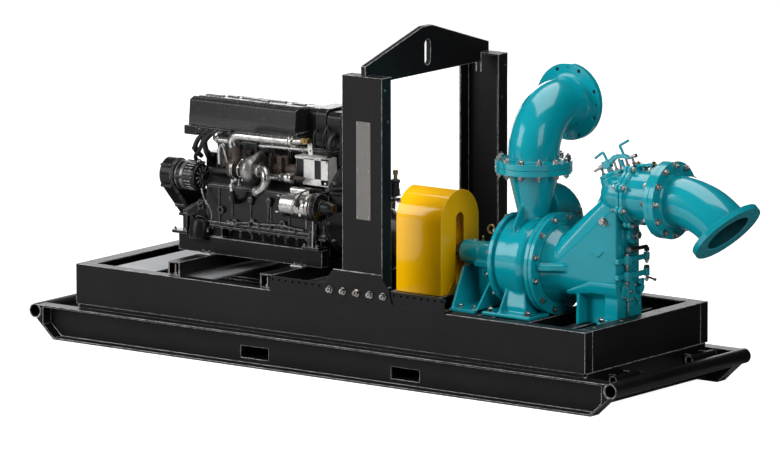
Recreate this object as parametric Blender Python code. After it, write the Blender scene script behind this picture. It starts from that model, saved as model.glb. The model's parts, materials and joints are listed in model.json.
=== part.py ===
"""Engine-driven trash pump on a lifting skid, built at its real size.

Metres, +Z up. X runs along the skid, with the engine at -X and the pump at +X.
The origin is on the floor, under the middle of the skid.
"""
import math

import bmesh
import bpy
from mathutils import Matrix, Vector

# Clearance that touching pieces keep
GAP = 0.0003
# Turned pieces: number of sides of large, medium and small rounds
ROUND = 32
MEDIUM = 20
SMALL = 10

# Skid: two channels with outward flanges, joined by the tow pipes
SKID_HALF_WIDTH = 0.7247
RAIL_HEIGHT = 0.2145
RAIL_DEPTH = 0.09
RAIL_PLATE = 0.012
RAIL_WEB = 0.010
RAIL_BOTTOM_HALF = 2.107
RAIL_CHAMFER_X = 2.240
RAIL_CHAMFER_Z = 0.122
TOW_PIPE_X = 2.2543
TOW_PIPE_Z = 0.1727
TOW_PIPE_RADIUS = 0.047
TOW_PIPE_WALL = 0.008
POCKET_X = (-0.54, 0.64)
POCKET_WIDTH = 0.220
POCKET_HEIGHT = 0.075
POCKET_Z = 0.080
POCKET_WALL = 0.008

# Base frame: a box of channels with their flanges inward, on a floor plate
BASE_X = (-1.9668, 2.0194)
BASE_HALF_WIDTH = 0.6590
BASE_BOTTOM = 0.2416
BASE_TOP = 0.5000
BASE_FLANGE = 0.080
BASE_END_FLANGE = 0.100
BASE_PLATE = 0.010
FLOOR_HALF_WIDTH = 0.650
BASE_HOLE_RADIUS = 0.009
BASE_END_HOLES = ((1.966, -0.49), (1.966, -0.20), (1.966, 0.20), (1.966, 0.49))
BASE_SIDE_HOLES = ((1.570, 0.620), (1.900, 0.620))

# Lifting frame: two channels with their open sides inward, and a plate between
POST_X = (0.1659, 0.4741)
POST_FACE = 0.6610
POST_DEPTH = 0.0971
POST_TOP = 1.9226
POST_PLATE = 0.012
STRIP_X = (-0.400, 0.960)
STRIP_BOTTOM = 0.490
STRIP_TOP = 0.595
STRIP_PLATE = 0.012
STRIP_WALL = 0.008
LIFT_PLATE_THICK = 0.035
LIFT_PEAK = 2.162
LIFT_SHOULDER = 1.984
LIFT_BOTTOM = 1.865
LIFT_SLOT = (1.915, 2.076)
LIFT_SLOT_WIDTH = 0.060

# Pump line
SHAFT_Z = 0.765
PIPE_RADIUS = 0.162
BORE_RADIUS = 0.150
FLANGE_RADIUS = 0.2415
FLANGE_THICK = 0.036
BOLT_CIRCLE = 0.216
BOLT_COUNT = 12
BOLT_HOLE_RADIUS = 0.0127

# Light grey cross plates inside the engine end: x range and top height
CROSS_PLATES = {"cross_plate_front": (-1.74, -1.42), "cross_plate_middle": (-1.17, -0.97),
                "cross_plate_rear": (-0.46, -0.28)}
CROSS_PLATE_TOP = 0.4890
CROSS_PLATE_THICK = 0.012

# Square tubes across the top of the base frame, under the engine rails
TUBE_SIZE = 0.093
TUBE_WALL = 0.010
TUBE_X = {"cross_tube_front": -1.187, "cross_tube_rear": -0.452}
TUBE_BOTTOM = BASE_TOP + GAP
TUBE_TOP = TUBE_BOTTOM + TUBE_SIZE

# Engine rails on the square tubes
ENGINE_RAIL_X = (-1.437, -0.292)
ENGINE_RAIL_Y = (0.205, 0.270)
ENGINE_RAIL_BOTTOM = TUBE_TOP + GAP
ENGINE_RAIL_TOP = ENGINE_RAIL_BOTTOM + 0.108
MOUNT_X = (-1.150, -0.360)
BLOCK_BOTTOM = 0.780

# Engine: blocks stacked from the pan up
PAN_BOTTOM = 0.640
BLOCK_X = (-1.225, -0.265)
HEAD_BOTTOM = 1.110
COVER_BOTTOM = 1.335
COVER_LIP = 1.410
COVER_TOP = 1.580
BLOCK_HALF = 0.250

# Belt drive at the front of the engine: places of the two shafts in Y and Z
ALTERNATOR_YZ = (-0.258, 1.075)
CRANK_YZ = (-0.010, 0.815)
BELT_GUARD_BACK = -1.420
BELT_GUARD_FRONT = -1.520

# Near side of the engine: turbocharger and pipes, all on one line in Y
TURBO_Y = -0.365
TURBO_Z = 1.185
PIPE_Z = 1.366
MANIFOLD_FACE = -0.270

# Yellow coupling guard: x range, half width, top and wall, and the slot for the shaft
GUARD_X = (0.240, 0.588)
GUARD_HALF = 0.199
GUARD_TOP = 1.150
GUARD_WALL = 0.005
GUARD_SLOT_HALF = 0.043
GUARD_SLOT_CENTRE = 0.962

# Bearing housing and its stand
BEARING_START = 0.622
BEARING_RADIUS = 0.078
PEDESTAL_X = (0.742, 0.930)
PEDESTAL_WALL = 0.015
PEDESTAL_HALF = 0.32
SOLE_THICK = 0.018

# Bed inside the base frame, stepped for the guard, the volute and the chest
BED_TOP = 0.4447
GUARD_BED_TOP = 0.4997
CHEST_BED_TOP = 0.4297
BED_X = (0.22, 1.905)
GUARD_BED_END = 0.605
CHEST_BED_START = 1.385

# Volute: planes of its back ring and of its cover ring
BACKPLATE_X = 1.010
COVER_RING_X = 1.335

# Suction chest: a flat-sided chamber that climbs from the cover to the inlet drum
CHEST_HALF = 0.125
CHEST_FACE_X = 1.873
INLET_Z = 1.250
BELLY_Z = 0.700
DRUM_START = 1.690
DRUM_END = 1.930
DRUM_RADIUS = 0.168
FIN_Z = 0.777
FIN_HALF = 0.011

# Filling cover: everything on it is square to a face that climbs towards +X
FILL_TILT = math.radians(22)
FILL_ORIGIN = (1.785, 0, 1.382)

# Discharge: a cone from the volute to the joint flange, then a bend to the back
RISER_X = 1.156
RISER_BOTTOM = 0.985
JOINT_Z = 1.362
ELBOW_NECK = 0.060
ELBOW_RADIUS = 0.290
ELBOW_TAIL = 0.106
OUTLET_HOLES = 8
OUTLET_HOLE_RADIUS = 0.0135

# Suction: spool from the inlet drum to the joint, then a 45 degree bend downward
SUCTION_JOINT_X = 2.187
SUCTION_NECK = 0.070
SUCTION_RADIUS = 0.478
SUCTION_TAIL = FLANGE_THICK

# Paint and metal of each finish: colour, metallic, roughness
FINISHES = {
    "black": ((0.018, 0.018, 0.019), 0.0, 0.42),
    "engine_black": ((0.014, 0.014, 0.015), 0.0, 0.38),
    "teal": ((0.000, 0.235, 0.285), 0.0, 0.22),
    "yellow": ((0.86, 0.50, 0.005), 0.0, 0.30),
    "steel": ((0.55, 0.54, 0.52), 1.0, 0.30),
    "plate_grey": ((0.30, 0.30, 0.30), 0.4, 0.45),
    "cast_iron": ((0.16, 0.115, 0.09), 0.6, 0.62),
}


def clear_scene():
    for item in list(bpy.data.objects):
        bpy.data.objects.remove(item, do_unlink=True)


def finish_material(part_name, finish):
    colour, metallic, roughness = FINISHES[finish]
    material = bpy.data.materials.new(part_name + "_" + finish)
    material.use_nodes = True
    shader = material.node_tree.nodes["Principled BSDF"]
    shader.inputs["Base Color"].default_value = (*colour, 1.0)
    shader.inputs["Metallic"].default_value = metallic
    shader.inputs["Roughness"].default_value = roughness
    return material


def make_object(name, bm, finish=None, smooth=False):
    """Turn a bmesh into a named object; without a finish it is a cutter or a tool."""
    bmesh.ops.recalc_face_normals(bm, faces=bm.faces[:])
    mesh = bpy.data.meshes.new(name)
    bm.to_mesh(mesh)
    bm.free()
    item = bpy.data.objects.new(name, mesh)
    bpy.context.scene.collection.objects.link(item)
    if smooth:
        mesh.shade_smooth()
        mesh.set_sharp_from_angle(angle=math.radians(35))
    if finish is None:
        item.hide_render = True
        item.display_type = "WIRE"
    else:
        mesh.materials.append(finish_material(name, finish))
    return item


def box_mesh(low, high):
    bm = bmesh.new()
    size = [high[i] - low[i] for i in range(3)]
    centre = [(high[i] + low[i]) / 2 for i in range(3)]
    bmesh.ops.create_cube(bm, size=1.0)
    bmesh.ops.scale(bm, vec=size, verts=bm.verts[:])
    bmesh.ops.translate(bm, vec=centre, verts=bm.verts[:])
    return bm


def box(name, low, high, finish=None):
    return make_object(name, box_mesh(low, high), finish)


# Directions of a flat outline's two axes and of its thickness
PLANES = {
    "XZ": (Vector((1, 0, 0)), Vector((0, 0, 1)), Vector((0, 1, 0))),
    "YZ": (Vector((0, 1, 0)), Vector((0, 0, 1)), Vector((1, 0, 0))),
    "XY": (Vector((1, 0, 0)), Vector((0, 1, 0)), Vector((0, 0, 1))),
}


def prism(name, outline, plane, start, end, finish=None, smooth=False):
    """Extrude a flat outline of (u, v) points from start to end across its plane."""
    u_axis, v_axis, across = PLANES[plane]
    bm = bmesh.new()
    verts = []
    for u, v in outline:
        verts.append(bm.verts.new(u_axis * u + v_axis * v + across * start))
    face = bm.faces.new(verts)
    grown = bmesh.ops.extrude_face_region(bm, geom=[face])
    moved = [g for g in grown["geom"] if isinstance(g, bmesh.types.BMVert)]
    bmesh.ops.translate(bm, vec=across * (end - start), verts=moved)
    return make_object(name, bm, finish, smooth)


def turn_to(direction):
    """Rotation that takes +Z to the direction."""
    return Vector((0, 0, 1)).rotation_difference(Vector(direction)).to_matrix()


def turned(name, profile, origin, direction, finish=None, sides=ROUND):
    """Turn a profile of (radius, height) points round an axis through the origin."""
    bm = bmesh.new()
    verts = [bm.verts.new((r, 0, h)) for r, h in profile]
    edges = [bm.edges.new((verts[i], verts[i + 1])) for i in range(len(verts) - 1)]
    open_ends = profile[0][0] == 0 and profile[-1][0] == 0
    if not open_ends:
        edges.append(bm.edges.new((verts[-1], verts[0])))
    bmesh.ops.spin(
        bm, geom=verts + edges, cent=(0, 0, 0), axis=(0, 0, 1), dvec=(0, 0, 0),
        angle=2 * math.pi, steps=sides, use_merge=True, use_duplicate=False)
    bmesh.ops.remove_doubles(bm, verts=bm.verts[:], dist=1e-6)
    bmesh.ops.rotate(bm, cent=(0, 0, 0), matrix=turn_to(direction), verts=bm.verts[:])
    bmesh.ops.translate(bm, vec=origin, verts=bm.verts[:])
    return make_object(name, bm, finish, smooth=True)


def rod(name, start, end, radius, finish=None, sides=MEDIUM):
    """Solid round bar between two points."""
    start = Vector(start)
    end = Vector(end)
    length = (end - start).length
    profile = [(0, 0), (radius, 0), (radius, length), (0, length)]
    return turned(name, profile, start, end - start, finish, sides)


def ring_chain(name, rings, finish, sides=24):
    """Extrude a circle from frame to frame, and weld its last copy to the first."""
    bm = bmesh.new()
    first_frame, first_radius = rings[0]
    made = bmesh.ops.create_circle(bm, cap_ends=False, segments=sides, radius=first_radius)
    bmesh.ops.transform(bm, matrix=first_frame, verts=made["verts"])
    edges = bm.edges[:]
    frame_before, radius_before = rings[0]
    for frame, radius in rings[1:] + rings[:1]:
        grown = bmesh.ops.extrude_edge_only(bm, edges=edges)["geom"]
        verts = [g for g in grown if isinstance(g, bmesh.types.BMVert)]
        edges = [g for g in grown if isinstance(g, bmesh.types.BMEdge)]
        size = Matrix.Diagonal((radius / radius_before, radius / radius_before, 1, 1))
        bmesh.ops.transform(bm, matrix=frame @ size @ frame_before.inverted(), verts=verts)
        frame_before = frame
        radius_before = radius
    bmesh.ops.remove_doubles(bm, verts=bm.verts[:], dist=1e-5)
    return make_object(name, bm, finish, smooth=True)


def grow(bm, face, change):
    """Extrude an end face, move its copy by a matrix, and return the copy."""
    inside = len(face.edges[0].link_faces) > 1
    grown = bmesh.ops.extrude_face_region(bm, geom=[face])["geom"]
    verts = [g for g in grown if isinstance(g, bmesh.types.BMVert)]
    bmesh.ops.transform(bm, matrix=change, verts=verts)
    if inside:
        bmesh.ops.delete(bm, geom=[face], context="FACES_ONLY")
    return [g for g in grown if isinstance(g, bmesh.types.BMFace)][0]


def bend_frames(start, direction, axis, angle, radius, steps):
    """Frames along a bend that starts at a point and turns round the axis."""
    way = Vector(direction).normalized()
    first = Matrix.Translation(start) @ turn_to(way).to_4x4()
    towards = Vector(axis).cross(way).normalized()
    centre = Matrix.Translation(Vector(start) + towards * radius)
    frames = []
    for step in range(steps + 1):
        turn = Matrix.Rotation(angle * step / steps, 4, Vector(axis))
        frames.append(centre @ turn @ centre.inverted() @ first)
    return frames


def flanged_bend(name, joint, direction, axis, angle, neck, radius, tail, outer, steps):
    """Pipe bend with a flange at each end and one bore through it.

    It starts with its joint face at a point, runs straight for the neck, turns, and runs
    straight for the tail, which ends at the face of the other flange.
    """
    way = Vector(direction).normalized()
    face = Matrix.Translation(joint) @ turn_to(way).to_4x4()
    face_back = Matrix.Translation(way * FLANGE_THICK) @ face
    body = bend_frames(Vector(joint) + way * neck, way, axis, angle, radius, steps)
    way_out = body[-1].to_3x3() @ Vector((0, 0, 1))
    end = Matrix.Translation(way_out * tail) @ body[-1]
    end_back = Matrix.Translation(-way_out * FLANGE_THICK) @ end
    if tail - FLANGE_THICK < 0.002:
        body_out = body[:-1]
    else:
        body_out = body
    rings = [(face, FLANGE_RADIUS), (face_back, FLANGE_RADIUS), (face_back, outer)]
    rings += [(frame, outer) for frame in body_out]
    rings += [(end_back, outer), (end_back, FLANGE_RADIUS), (end, FLANGE_RADIUS), (end, BORE_RADIUS)]
    rings += [(frame, BORE_RADIUS) for frame in reversed(body)]
    rings += [(face, BORE_RADIUS)]
    return ring_chain(name, rings, "teal"), end.translation, way_out


def boolean(item, tool, operation):
    change = item.modifiers.new(tool.name, "BOOLEAN")
    change.operation = operation
    change.solver = "EXACT"
    change.object = tool
    return item


def cut(item, *tools):
    for tool in tools:
        boolean(item, tool, "DIFFERENCE")
    return item


def join(item, *tools):
    for tool in tools:
        boolean(item, tool, "UNION")
    return item


def ring_of_holes(name, centre, direction, circle, count, radius, depth):
    """One cutter made of rods on a bolt circle; the first hole is half a step round."""
    bm = bmesh.new()
    turn = turn_to(direction)
    for index in range(count):
        angle = 2 * math.pi * (index + 0.5) / count
        made = bmesh.ops.create_cone(
            bm, cap_ends=True, segments=SMALL, radius1=radius, radius2=radius,
            depth=2 * depth)
        spot = Vector((circle * math.cos(angle), circle * math.sin(angle), 0))
        bmesh.ops.translate(bm, vec=spot, verts=made["verts"])
    bmesh.ops.rotate(bm, cent=(0, 0, 0), matrix=turn, verts=bm.verts[:])
    bmesh.ops.translate(bm, vec=centre, verts=bm.verts[:])
    return make_object(name, bm)


def mirrored(side, low, high):
    """The y range low..high on the near side (-1) or on the far side (+1)."""
    values = sorted((side * low, side * high))
    return values[0], values[1]


def build_skid_rail(name, side):
    web_inner = SKID_HALF_WIDTH - RAIL_DEPTH
    end = TOW_PIPE_X - 0.004
    outline = [
        (-RAIL_BOTTOM_HALF, 0), (RAIL_BOTTOM_HALF, 0),
        (RAIL_CHAMFER_X, RAIL_CHAMFER_Z), (end, RAIL_HEIGHT),
        (-end, RAIL_HEIGHT), (-RAIL_CHAMFER_X, RAIL_CHAMFER_Z),
    ]
    plate = RAIL_PLATE
    recess = [
        (-RAIL_BOTTOM_HALF + 0.006, plate), (RAIL_BOTTOM_HALF - 0.006, plate),
        (RAIL_CHAMFER_X - 0.052, RAIL_CHAMFER_Z - 0.031),
        (RAIL_CHAMFER_X - 0.052, RAIL_HEIGHT - plate),
        (-RAIL_CHAMFER_X + 0.052, RAIL_HEIGHT - plate),
        (-RAIL_CHAMFER_X + 0.052, RAIL_CHAMFER_Z - 0.031),
    ]
    low, high = mirrored(side, web_inner, SKID_HALF_WIDTH)
    rail = prism(name, outline, "XZ", low, high, "black")
    low, high = mirrored(side, web_inner + RAIL_WEB, SKID_HALF_WIDTH + 0.02)
    cut(rail, prism(name + "_recess", recess, "XZ", low, high))
    for index, x in enumerate(POCKET_X):
        half = POCKET_WIDTH / 2
        tool = box(name + "_pocket_%d" % index,
                   (x - half, side * SKID_HALF_WIDTH - 0.2, POCKET_Z - POCKET_HEIGHT / 2),
                   (x + half, side * SKID_HALF_WIDTH + 0.2, POCKET_Z + POCKET_HEIGHT / 2))
        cut(rail, tool)
    for end_side in (-1, 1):
        tool = rod(name + "_pipe_seat_%d" % end_side,
                   (end_side * TOW_PIPE_X, -1, TOW_PIPE_Z),
                   (end_side * TOW_PIPE_X, 1, TOW_PIPE_Z), TOW_PIPE_RADIUS + GAP)
        cut(rail, tool)


def build_tow_pipe(name, end_side):
    half = SKID_HALF_WIDTH
    inner = TOW_PIPE_RADIUS - TOW_PIPE_WALL
    profile = [(inner, 0), (TOW_PIPE_RADIUS, 0), (TOW_PIPE_RADIUS, 2 * half), (inner, 2 * half)]
    turned(name, profile, (end_side * TOW_PIPE_X, -half, TOW_PIPE_Z), (0, 1, 0), "black", MEDIUM)


def build_fork_pocket(name, x):
    half_length = SKID_HALF_WIDTH - RAIL_DEPTH - GAP
    half = POCKET_WIDTH / 2
    tall = POCKET_HEIGHT / 2
    wall = POCKET_WALL
    tube = box(name, (x - half - wall, -half_length, POCKET_Z - tall - wall),
               (x + half + wall, half_length, POCKET_Z + tall + wall), "black")
    cut(tube, box(name + "_bore", (x - half, -1, POCKET_Z - tall), (x + half, 1, POCKET_Z + tall)))


def build_base_floor():
    box("base_floor", (BASE_X[0] + 0.02, -FLOOR_HALF_WIDTH, RAIL_HEIGHT + GAP),
        (BASE_X[1] - 0.02, FLOOR_HALF_WIDTH, BASE_BOTTOM - GAP), "black")


def drill_flange(member, spots):
    """Tie-down holes straight through the top flange."""
    for x, y in spots:
        cut(member, rod(member.name + "_hole", (x, y, BASE_TOP - 2 * BASE_PLATE), (x, y, BASE_TOP + 0.01),
                        BASE_HOLE_RADIUS, sides=12))


def base_side(name, side):
    low, high = mirrored(side, BASE_HALF_WIDTH - BASE_FLANGE, BASE_HALF_WIDTH)
    member = box(name, (BASE_X[0], low, BASE_BOTTOM), (BASE_X[1], high, BASE_TOP), "black")
    low, high = mirrored(side, BASE_HALF_WIDTH - BASE_FLANGE - 0.02, BASE_HALF_WIDTH - BASE_PLATE)
    cut(member, box(name + "_recess", (BASE_X[0] + BASE_PLATE, low, BASE_BOTTOM + BASE_PLATE),
                    (BASE_X[1] - BASE_PLATE, high, BASE_TOP - BASE_PLATE)))
    if side > 0:
        drill_flange(member, BASE_SIDE_HOLES)


def base_end(name, end_side):
    outer = BASE_X[0] if end_side < 0 else BASE_X[1]
    inner = outer - end_side * BASE_END_FLANGE
    half = BASE_HALF_WIDTH - BASE_FLANGE - GAP
    low, high = sorted((inner, outer))
    member = box(name, (low, -half, BASE_BOTTOM), (high, half, BASE_TOP), "black")
    low, high = sorted((inner - end_side * 0.02, outer - end_side * BASE_PLATE))
    cut(member, box(name + "_recess", (low, -1, BASE_BOTTOM + BASE_PLATE),
                    (high, 1, BASE_TOP - BASE_PLATE)))
    if end_side > 0:
        drill_flange(member, BASE_END_HOLES)


def build_cross_plates():
    half = BASE_HALF_WIDTH - BASE_PLATE - GAP
    for name, (low, high) in CROSS_PLATES.items():
        box(name, (low, -half, CROSS_PLATE_TOP - CROSS_PLATE_THICK),
            (high, half, CROSS_PLATE_TOP), "plate_grey")


def build_cross_tubes():
    half = TUBE_SIZE / 2
    for name, x in TUBE_X.items():
        tube = box(name, (x - half, -0.640, TUBE_BOTTOM), (x + half, 0.640, TUBE_TOP), "black")
        cut(tube, box(name + "_bore", (x - half + TUBE_WALL, -1, TUBE_BOTTOM + TUBE_WALL),
                      (x + half - TUBE_WALL, 1, TUBE_TOP - TUBE_WALL)))


def build_engine_rails():
    for name, side in (("engine_rail_near", -1), ("engine_rail_far", 1)):
        low, high = mirrored(side, *ENGINE_RAIL_Y)
        rail = box(name, (ENGINE_RAIL_X[0], low, ENGINE_RAIL_BOTTOM),
                   (ENGINE_RAIL_X[1], high, ENGINE_RAIL_TOP), "black")
        low, high = mirrored(side, 0.207, 0.248)
        for index, x in enumerate(MOUNT_X):
            join(rail, box("%s_mount_%d" % (name, index), (x - 0.045, low, ENGINE_RAIL_TOP - 0.01),
                           (x + 0.045, high, BLOCK_BOTTOM - GAP)))


def build_engine_core():
    box("oil_pan", (BLOCK_X[0] + 0.03, -0.19, PAN_BOTTOM),
        (BLOCK_X[1] - 0.02, 0.19, BLOCK_BOTTOM - GAP), "engine_black")
    outline = [(-BLOCK_HALF, BLOCK_BOTTOM), (BLOCK_HALF, BLOCK_BOTTOM),
               (BLOCK_HALF, 1.05), (0.20, HEAD_BOTTOM), (-0.20, HEAD_BOTTOM),
               (-BLOCK_HALF, 1.05)]
    prism("engine_block", outline, "YZ", BLOCK_X[0], BLOCK_X[1], "engine_black")
    box("cylinder_head", (-1.20, -0.17, HEAD_BOTTOM + GAP), (-0.30, 0.20, COVER_BOTTOM - GAP),
        "engine_black")
    outline = [(-0.232, COVER_LIP), (-0.205, COVER_LIP), (-0.205, COVER_BOTTOM),
               (0.265, COVER_BOTTOM), (0.300, 1.420), (0.300, 1.450), (0.200, COVER_TOP - 0.045),
               (-0.195, COVER_TOP), (-0.232, COVER_TOP - 0.03)]
    prism("top_cover", outline, "YZ", -1.380, -0.530, "engine_black")


def build_flywheel_housing():
    profile = [(0, 0), (0.305, 0), (0.305, 0.05), (0.275, 0.16), (0, 0.16)]
    turned("flywheel_housing", profile, (BLOCK_X[1] + GAP, 0, 0.955), (1, 0, 0), "engine_black")


def build_front_drive():
    """Gear case on the front of the block, crank pulley, alternator and belt guard."""
    front = BLOCK_X[0] - GAP
    outline = [(-0.23, 0.72), (0.23, 0.72), (0.24, 1.04), (0.16, 1.22), (-0.14, 1.22),
               (-0.14, 0.96), (-0.23, 0.92)]
    prism("gear_case", outline, "YZ", front - 0.09, front, "engine_black")
    case_front = front - 0.09 - GAP
    depth = case_front - BELT_GUARD_BACK - GAP
    profile = [(0, 0), (0.045, 0), (0.045, 0.03), (0.090, 0.03), (0.090, depth), (0, depth)]
    turned("crank_pulley", profile, (case_front, *CRANK_YZ), (-1, 0, 0), "engine_black", 24)
    start = -1.235
    depth = start - BELT_GUARD_BACK - GAP
    profile = [(0, 0), (0.060, 0), (0.090, 0.03), (0.090, depth), (0, depth)]
    turned("alternator", profile, (start, *ALTERNATOR_YZ), (-1, 0, 0), "engine_black", 24)
    bm = bmesh.new()
    for centre, radius in ((ALTERNATOR_YZ, 0.106), (CRANK_YZ, 0.112)):
        for x in (BELT_GUARD_FRONT, BELT_GUARD_BACK):
            made = bmesh.ops.create_circle(bm, cap_ends=False, segments=28, radius=radius)
            bmesh.ops.rotate(bm, cent=(0, 0, 0), matrix=turn_to((1, 0, 0)), verts=made["verts"])
            bmesh.ops.translate(bm, vec=(x, *centre), verts=made["verts"])
    hull = bmesh.ops.convex_hull(bm, input=bm.verts[:])
    loose = [g for g in hull["geom_interior"] if isinstance(g, bmesh.types.BMVert)]
    bmesh.ops.delete(bm, geom=loose, context="VERTS")
    wires = [edge for edge in bm.edges if not edge.link_faces]
    bmesh.ops.delete(bm, geom=wires, context="EDGES")
    make_object("belt_guard", bm, "engine_black", smooth=True)


def build_engine_near_side():
    near = -0.170 - GAP
    box("exhaust_manifold", (-1.100, MANIFOLD_FACE, 1.125), (-0.480, near, 1.245), "cast_iron")
    box("heat_shield", (-0.470, -0.262, 1.134), (-0.305, near, 1.280), "steel")
    profile = [(0, 0), (0.040, 0), (0.072, 0.012), (0.072, 0.070), (0.036, 0.080), (0.036, 0.110),
               (0.082, 0.122), (0.082, 0.180), (0.045, 0.205), (0, 0.205)]
    turbo = turned("turbocharger", profile, (-0.945, TURBO_Y, TURBO_Z), (1, 0, 0), "steel", 24)
    join(turbo, box("turbo_flange", (-0.940, MANIFOLD_FACE - GAP - 0.05, TURBO_Z - 0.035),
                    (-0.880, MANIFOLD_FACE - GAP, TURBO_Z + 0.035)))
    outlet_x = -0.690
    outlet = rod("outlet_drop", (outlet_x, TURBO_Y, TURBO_Z + 0.045),
                 (outlet_x, TURBO_Y, 1.075), 0.036)
    join(outlet, rod("outlet_neck", (outlet_x - 0.1, TURBO_Y, TURBO_Z),
                     (outlet_x, TURBO_Y, TURBO_Z), 0.030, None, 16))
    join(turbo, outlet)
    build_charge_pipe()
    build_starter()


def build_charge_pipe():
    """Pipe above the turbocharger: it drops to it at one end and turns in at the other."""
    drop_x = -0.900
    back_x = -0.440
    rise = 0.040
    branch = 0.029
    turbo_top = TURBO_Z + 0.0722 + GAP
    cover_side = -0.232 - GAP
    pipe = rod("charge_pipe", (drop_x - 0.03, TURBO_Y, PIPE_Z),
               (back_x + 0.03, TURBO_Y, PIPE_Z + rise), 0.032, "steel", 16)
    join(pipe, rod("pipe_drop", (drop_x, TURBO_Y, PIPE_Z), (drop_x, TURBO_Y, turbo_top), branch))
    join(pipe, rod("pipe_back", (back_x, TURBO_Y, PIPE_Z + rise - 0.004),
                   (back_x, cover_side, PIPE_Z + rise - 0.004), branch))


def build_starter():
    start = BLOCK_X[1]
    profile = [(0, 0), (0.084, 0), (0.084, 0.190), (0.066, 0.196), (0.066, 0.235), (0, 0.235)]
    turned("starter_motor", profile, (start, -0.350, 0.990), (-1, 0, 0), "steel", 24)


def build_guard():
    """Yellow inverted-U coupling guard, open below, with a slot for the shaft."""
    half = GUARD_HALF
    arc_z = GUARD_TOP - half
    bottom = GUARD_BED_TOP + GAP
    start, end = GUARD_X

    def outline(inset):
        points = [(-half + inset, bottom - (0.05 if inset else 0))]
        points.append((half - inset, points[0][1]))
        radius = half - inset
        for step in range(17):
            angle = math.pi * step / 16
            points.append((radius * math.cos(angle), arc_z + radius * math.sin(angle)))
        return points

    guard = prism("coupling_guard", outline(0), "YZ", start, end, "yellow", smooth=True)
    wall = GUARD_WALL
    cut(guard, prism("guard_inside", outline(wall), "YZ", start + wall, end - wall))
    radius = GUARD_SLOT_HALF
    slot = [(-radius, bottom - 0.1), (radius, bottom - 0.1)]
    for step in range(9):
        angle = math.pi * step / 8
        slot.append((radius * math.cos(angle), GUARD_SLOT_CENTRE + radius * math.sin(angle)))
    cut(guard, prism("guard_slot", slot, "YZ", start - 0.1, end + 0.1))


def build_drive_shaft():
    start = BLOCK_X[1] + 0.16 + 2 * GAP
    profile = [(0, 0), (0.030, 0.0), (0.030, 0.42), (0.110, 0.42), (0.110, 0.55), (0.035, 0.55),
               (0.035, 0.725), (0, 0.725)]
    turned("drive_shaft", profile, (start, 0, SHAFT_Z), (1, 0, 0), "steel", 20)


def build_bearing():
    length = BACKPLATE_X - GAP - BEARING_START
    radius = BEARING_RADIUS
    wide = 0.092
    profile = [(0, 0), (0.070, 0), (radius, 0.008), (radius, 0.27), (wide, 0.31), (wide, length),
               (0, length)]
    turned("bearing_housing", profile, (BEARING_START, 0, SHAFT_Z), (1, 0, 0), "teal")
    build_pedestal()


def build_pedestal():
    """A-shaped stand under the bearing housing: two plates joined by a web, on a foot."""
    top = SHAFT_Z - BEARING_RADIUS - GAP
    foot = BED_TOP + GAP
    sole = foot + SOLE_THICK
    wide = PEDESTAL_HALF
    outline = [(-wide, foot), (wide, foot), (wide, sole), (wide - 0.02, sole),
               (0.075, top), (-0.075, top), (0.02 - wide, sole), (-wide, sole)]
    start, end = PEDESTAL_X
    stand = prism("bearing_pedestal", outline, "YZ", start, end, "teal")
    for side in (-1, 1):
        low, high = mirrored(side, 0.02, 0.5)
        cut(stand, box("pedestal_recess_%d" % side, (start + PEDESTAL_WALL, low, sole),
                       (end - PEDESTAL_WALL, high, top + 0.1)))
    cut(stand, box("pedestal_head_room", (0.80, -0.5, top - 0.03), (end + 0.07, 0.5, top + 0.1)))


def build_pump_bed():
    """Welded bed inside the base frame, stepped for the guard, the volute and the chest."""
    half = BASE_HALF_WIDTH - BASE_FLANGE - 0.004
    bottom = BASE_BOTTOM
    outline = [(BED_X[0], bottom), (BED_X[1], bottom), (BED_X[1], CHEST_BED_TOP),
               (CHEST_BED_START, CHEST_BED_TOP), (CHEST_BED_START, BED_TOP),
               (GUARD_BED_END, BED_TOP), (GUARD_BED_END, GUARD_BED_TOP), (BED_X[0], GUARD_BED_TOP)]
    prism("pump_bed", outline, "XZ", -half, half, "black")


def volute_profile(extra):
    """Drum with its bolted back ring, its shoulder and its cover ring."""
    length = COVER_RING_X - BACKPLATE_X
    outer = [(0.292, 0), (0.292, 0.028), (0.272, 0.034), (0.272, 0.17), (0.285, 0.23),
             (0.262, 0.275), (0.262, 0.290), (0.318, 0.296), (0.318, length)]
    return [(0, 0)] + [(radius + extra, height) for radius, height in outer] + [(0, length)]


def build_volute():
    volute = turned("volute", volute_profile(0), (BACKPLATE_X, 0, SHAFT_Z), (1, 0, 0), "teal")
    base = BED_TOP + GAP
    for side in (-1, 1):
        foot = [(0.115, base), (0.262, base), (0.225, 0.64), (0.115, 0.64)]
        foot = [(side * y, z) for y, z in foot]
        join(volute, prism("volute_foot_%d" % side, foot, "YZ", 1.055, 1.290))
        low, high = mirrored(side, 0.115, 0.320)
        join(volute, box("volute_sole_%d" % side, (0.985, low, base), (1.355, high, base + 0.020)))
    return COVER_RING_X


def build_cover(ring_x):
    start = ring_x + GAP
    length = 0.100
    profile = [(0, 0), (0.318, 0), (0.318, 0.03), (0.245, 0.035), (0.205, length), (0, length)]
    cover = turned("suction_cover", profile, (start, 0, SHAFT_Z), (1, 0, 0), "teal")
    for side in (-1, 1):
        fin = [(start + 0.02, 0.15), (start + 0.02, 0.270), (start + 0.10, 0.270),
               (start + 0.155, 0.235), (start + 0.170, CHEST_HALF + GAP)]
        fin = [(x, side * y) for x, y in fin]
        join(cover, prism("cover_fin_%d" % side, fin, "XY", FIN_Z - FIN_HALF, FIN_Z + FIN_HALF))
    return start + length


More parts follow.
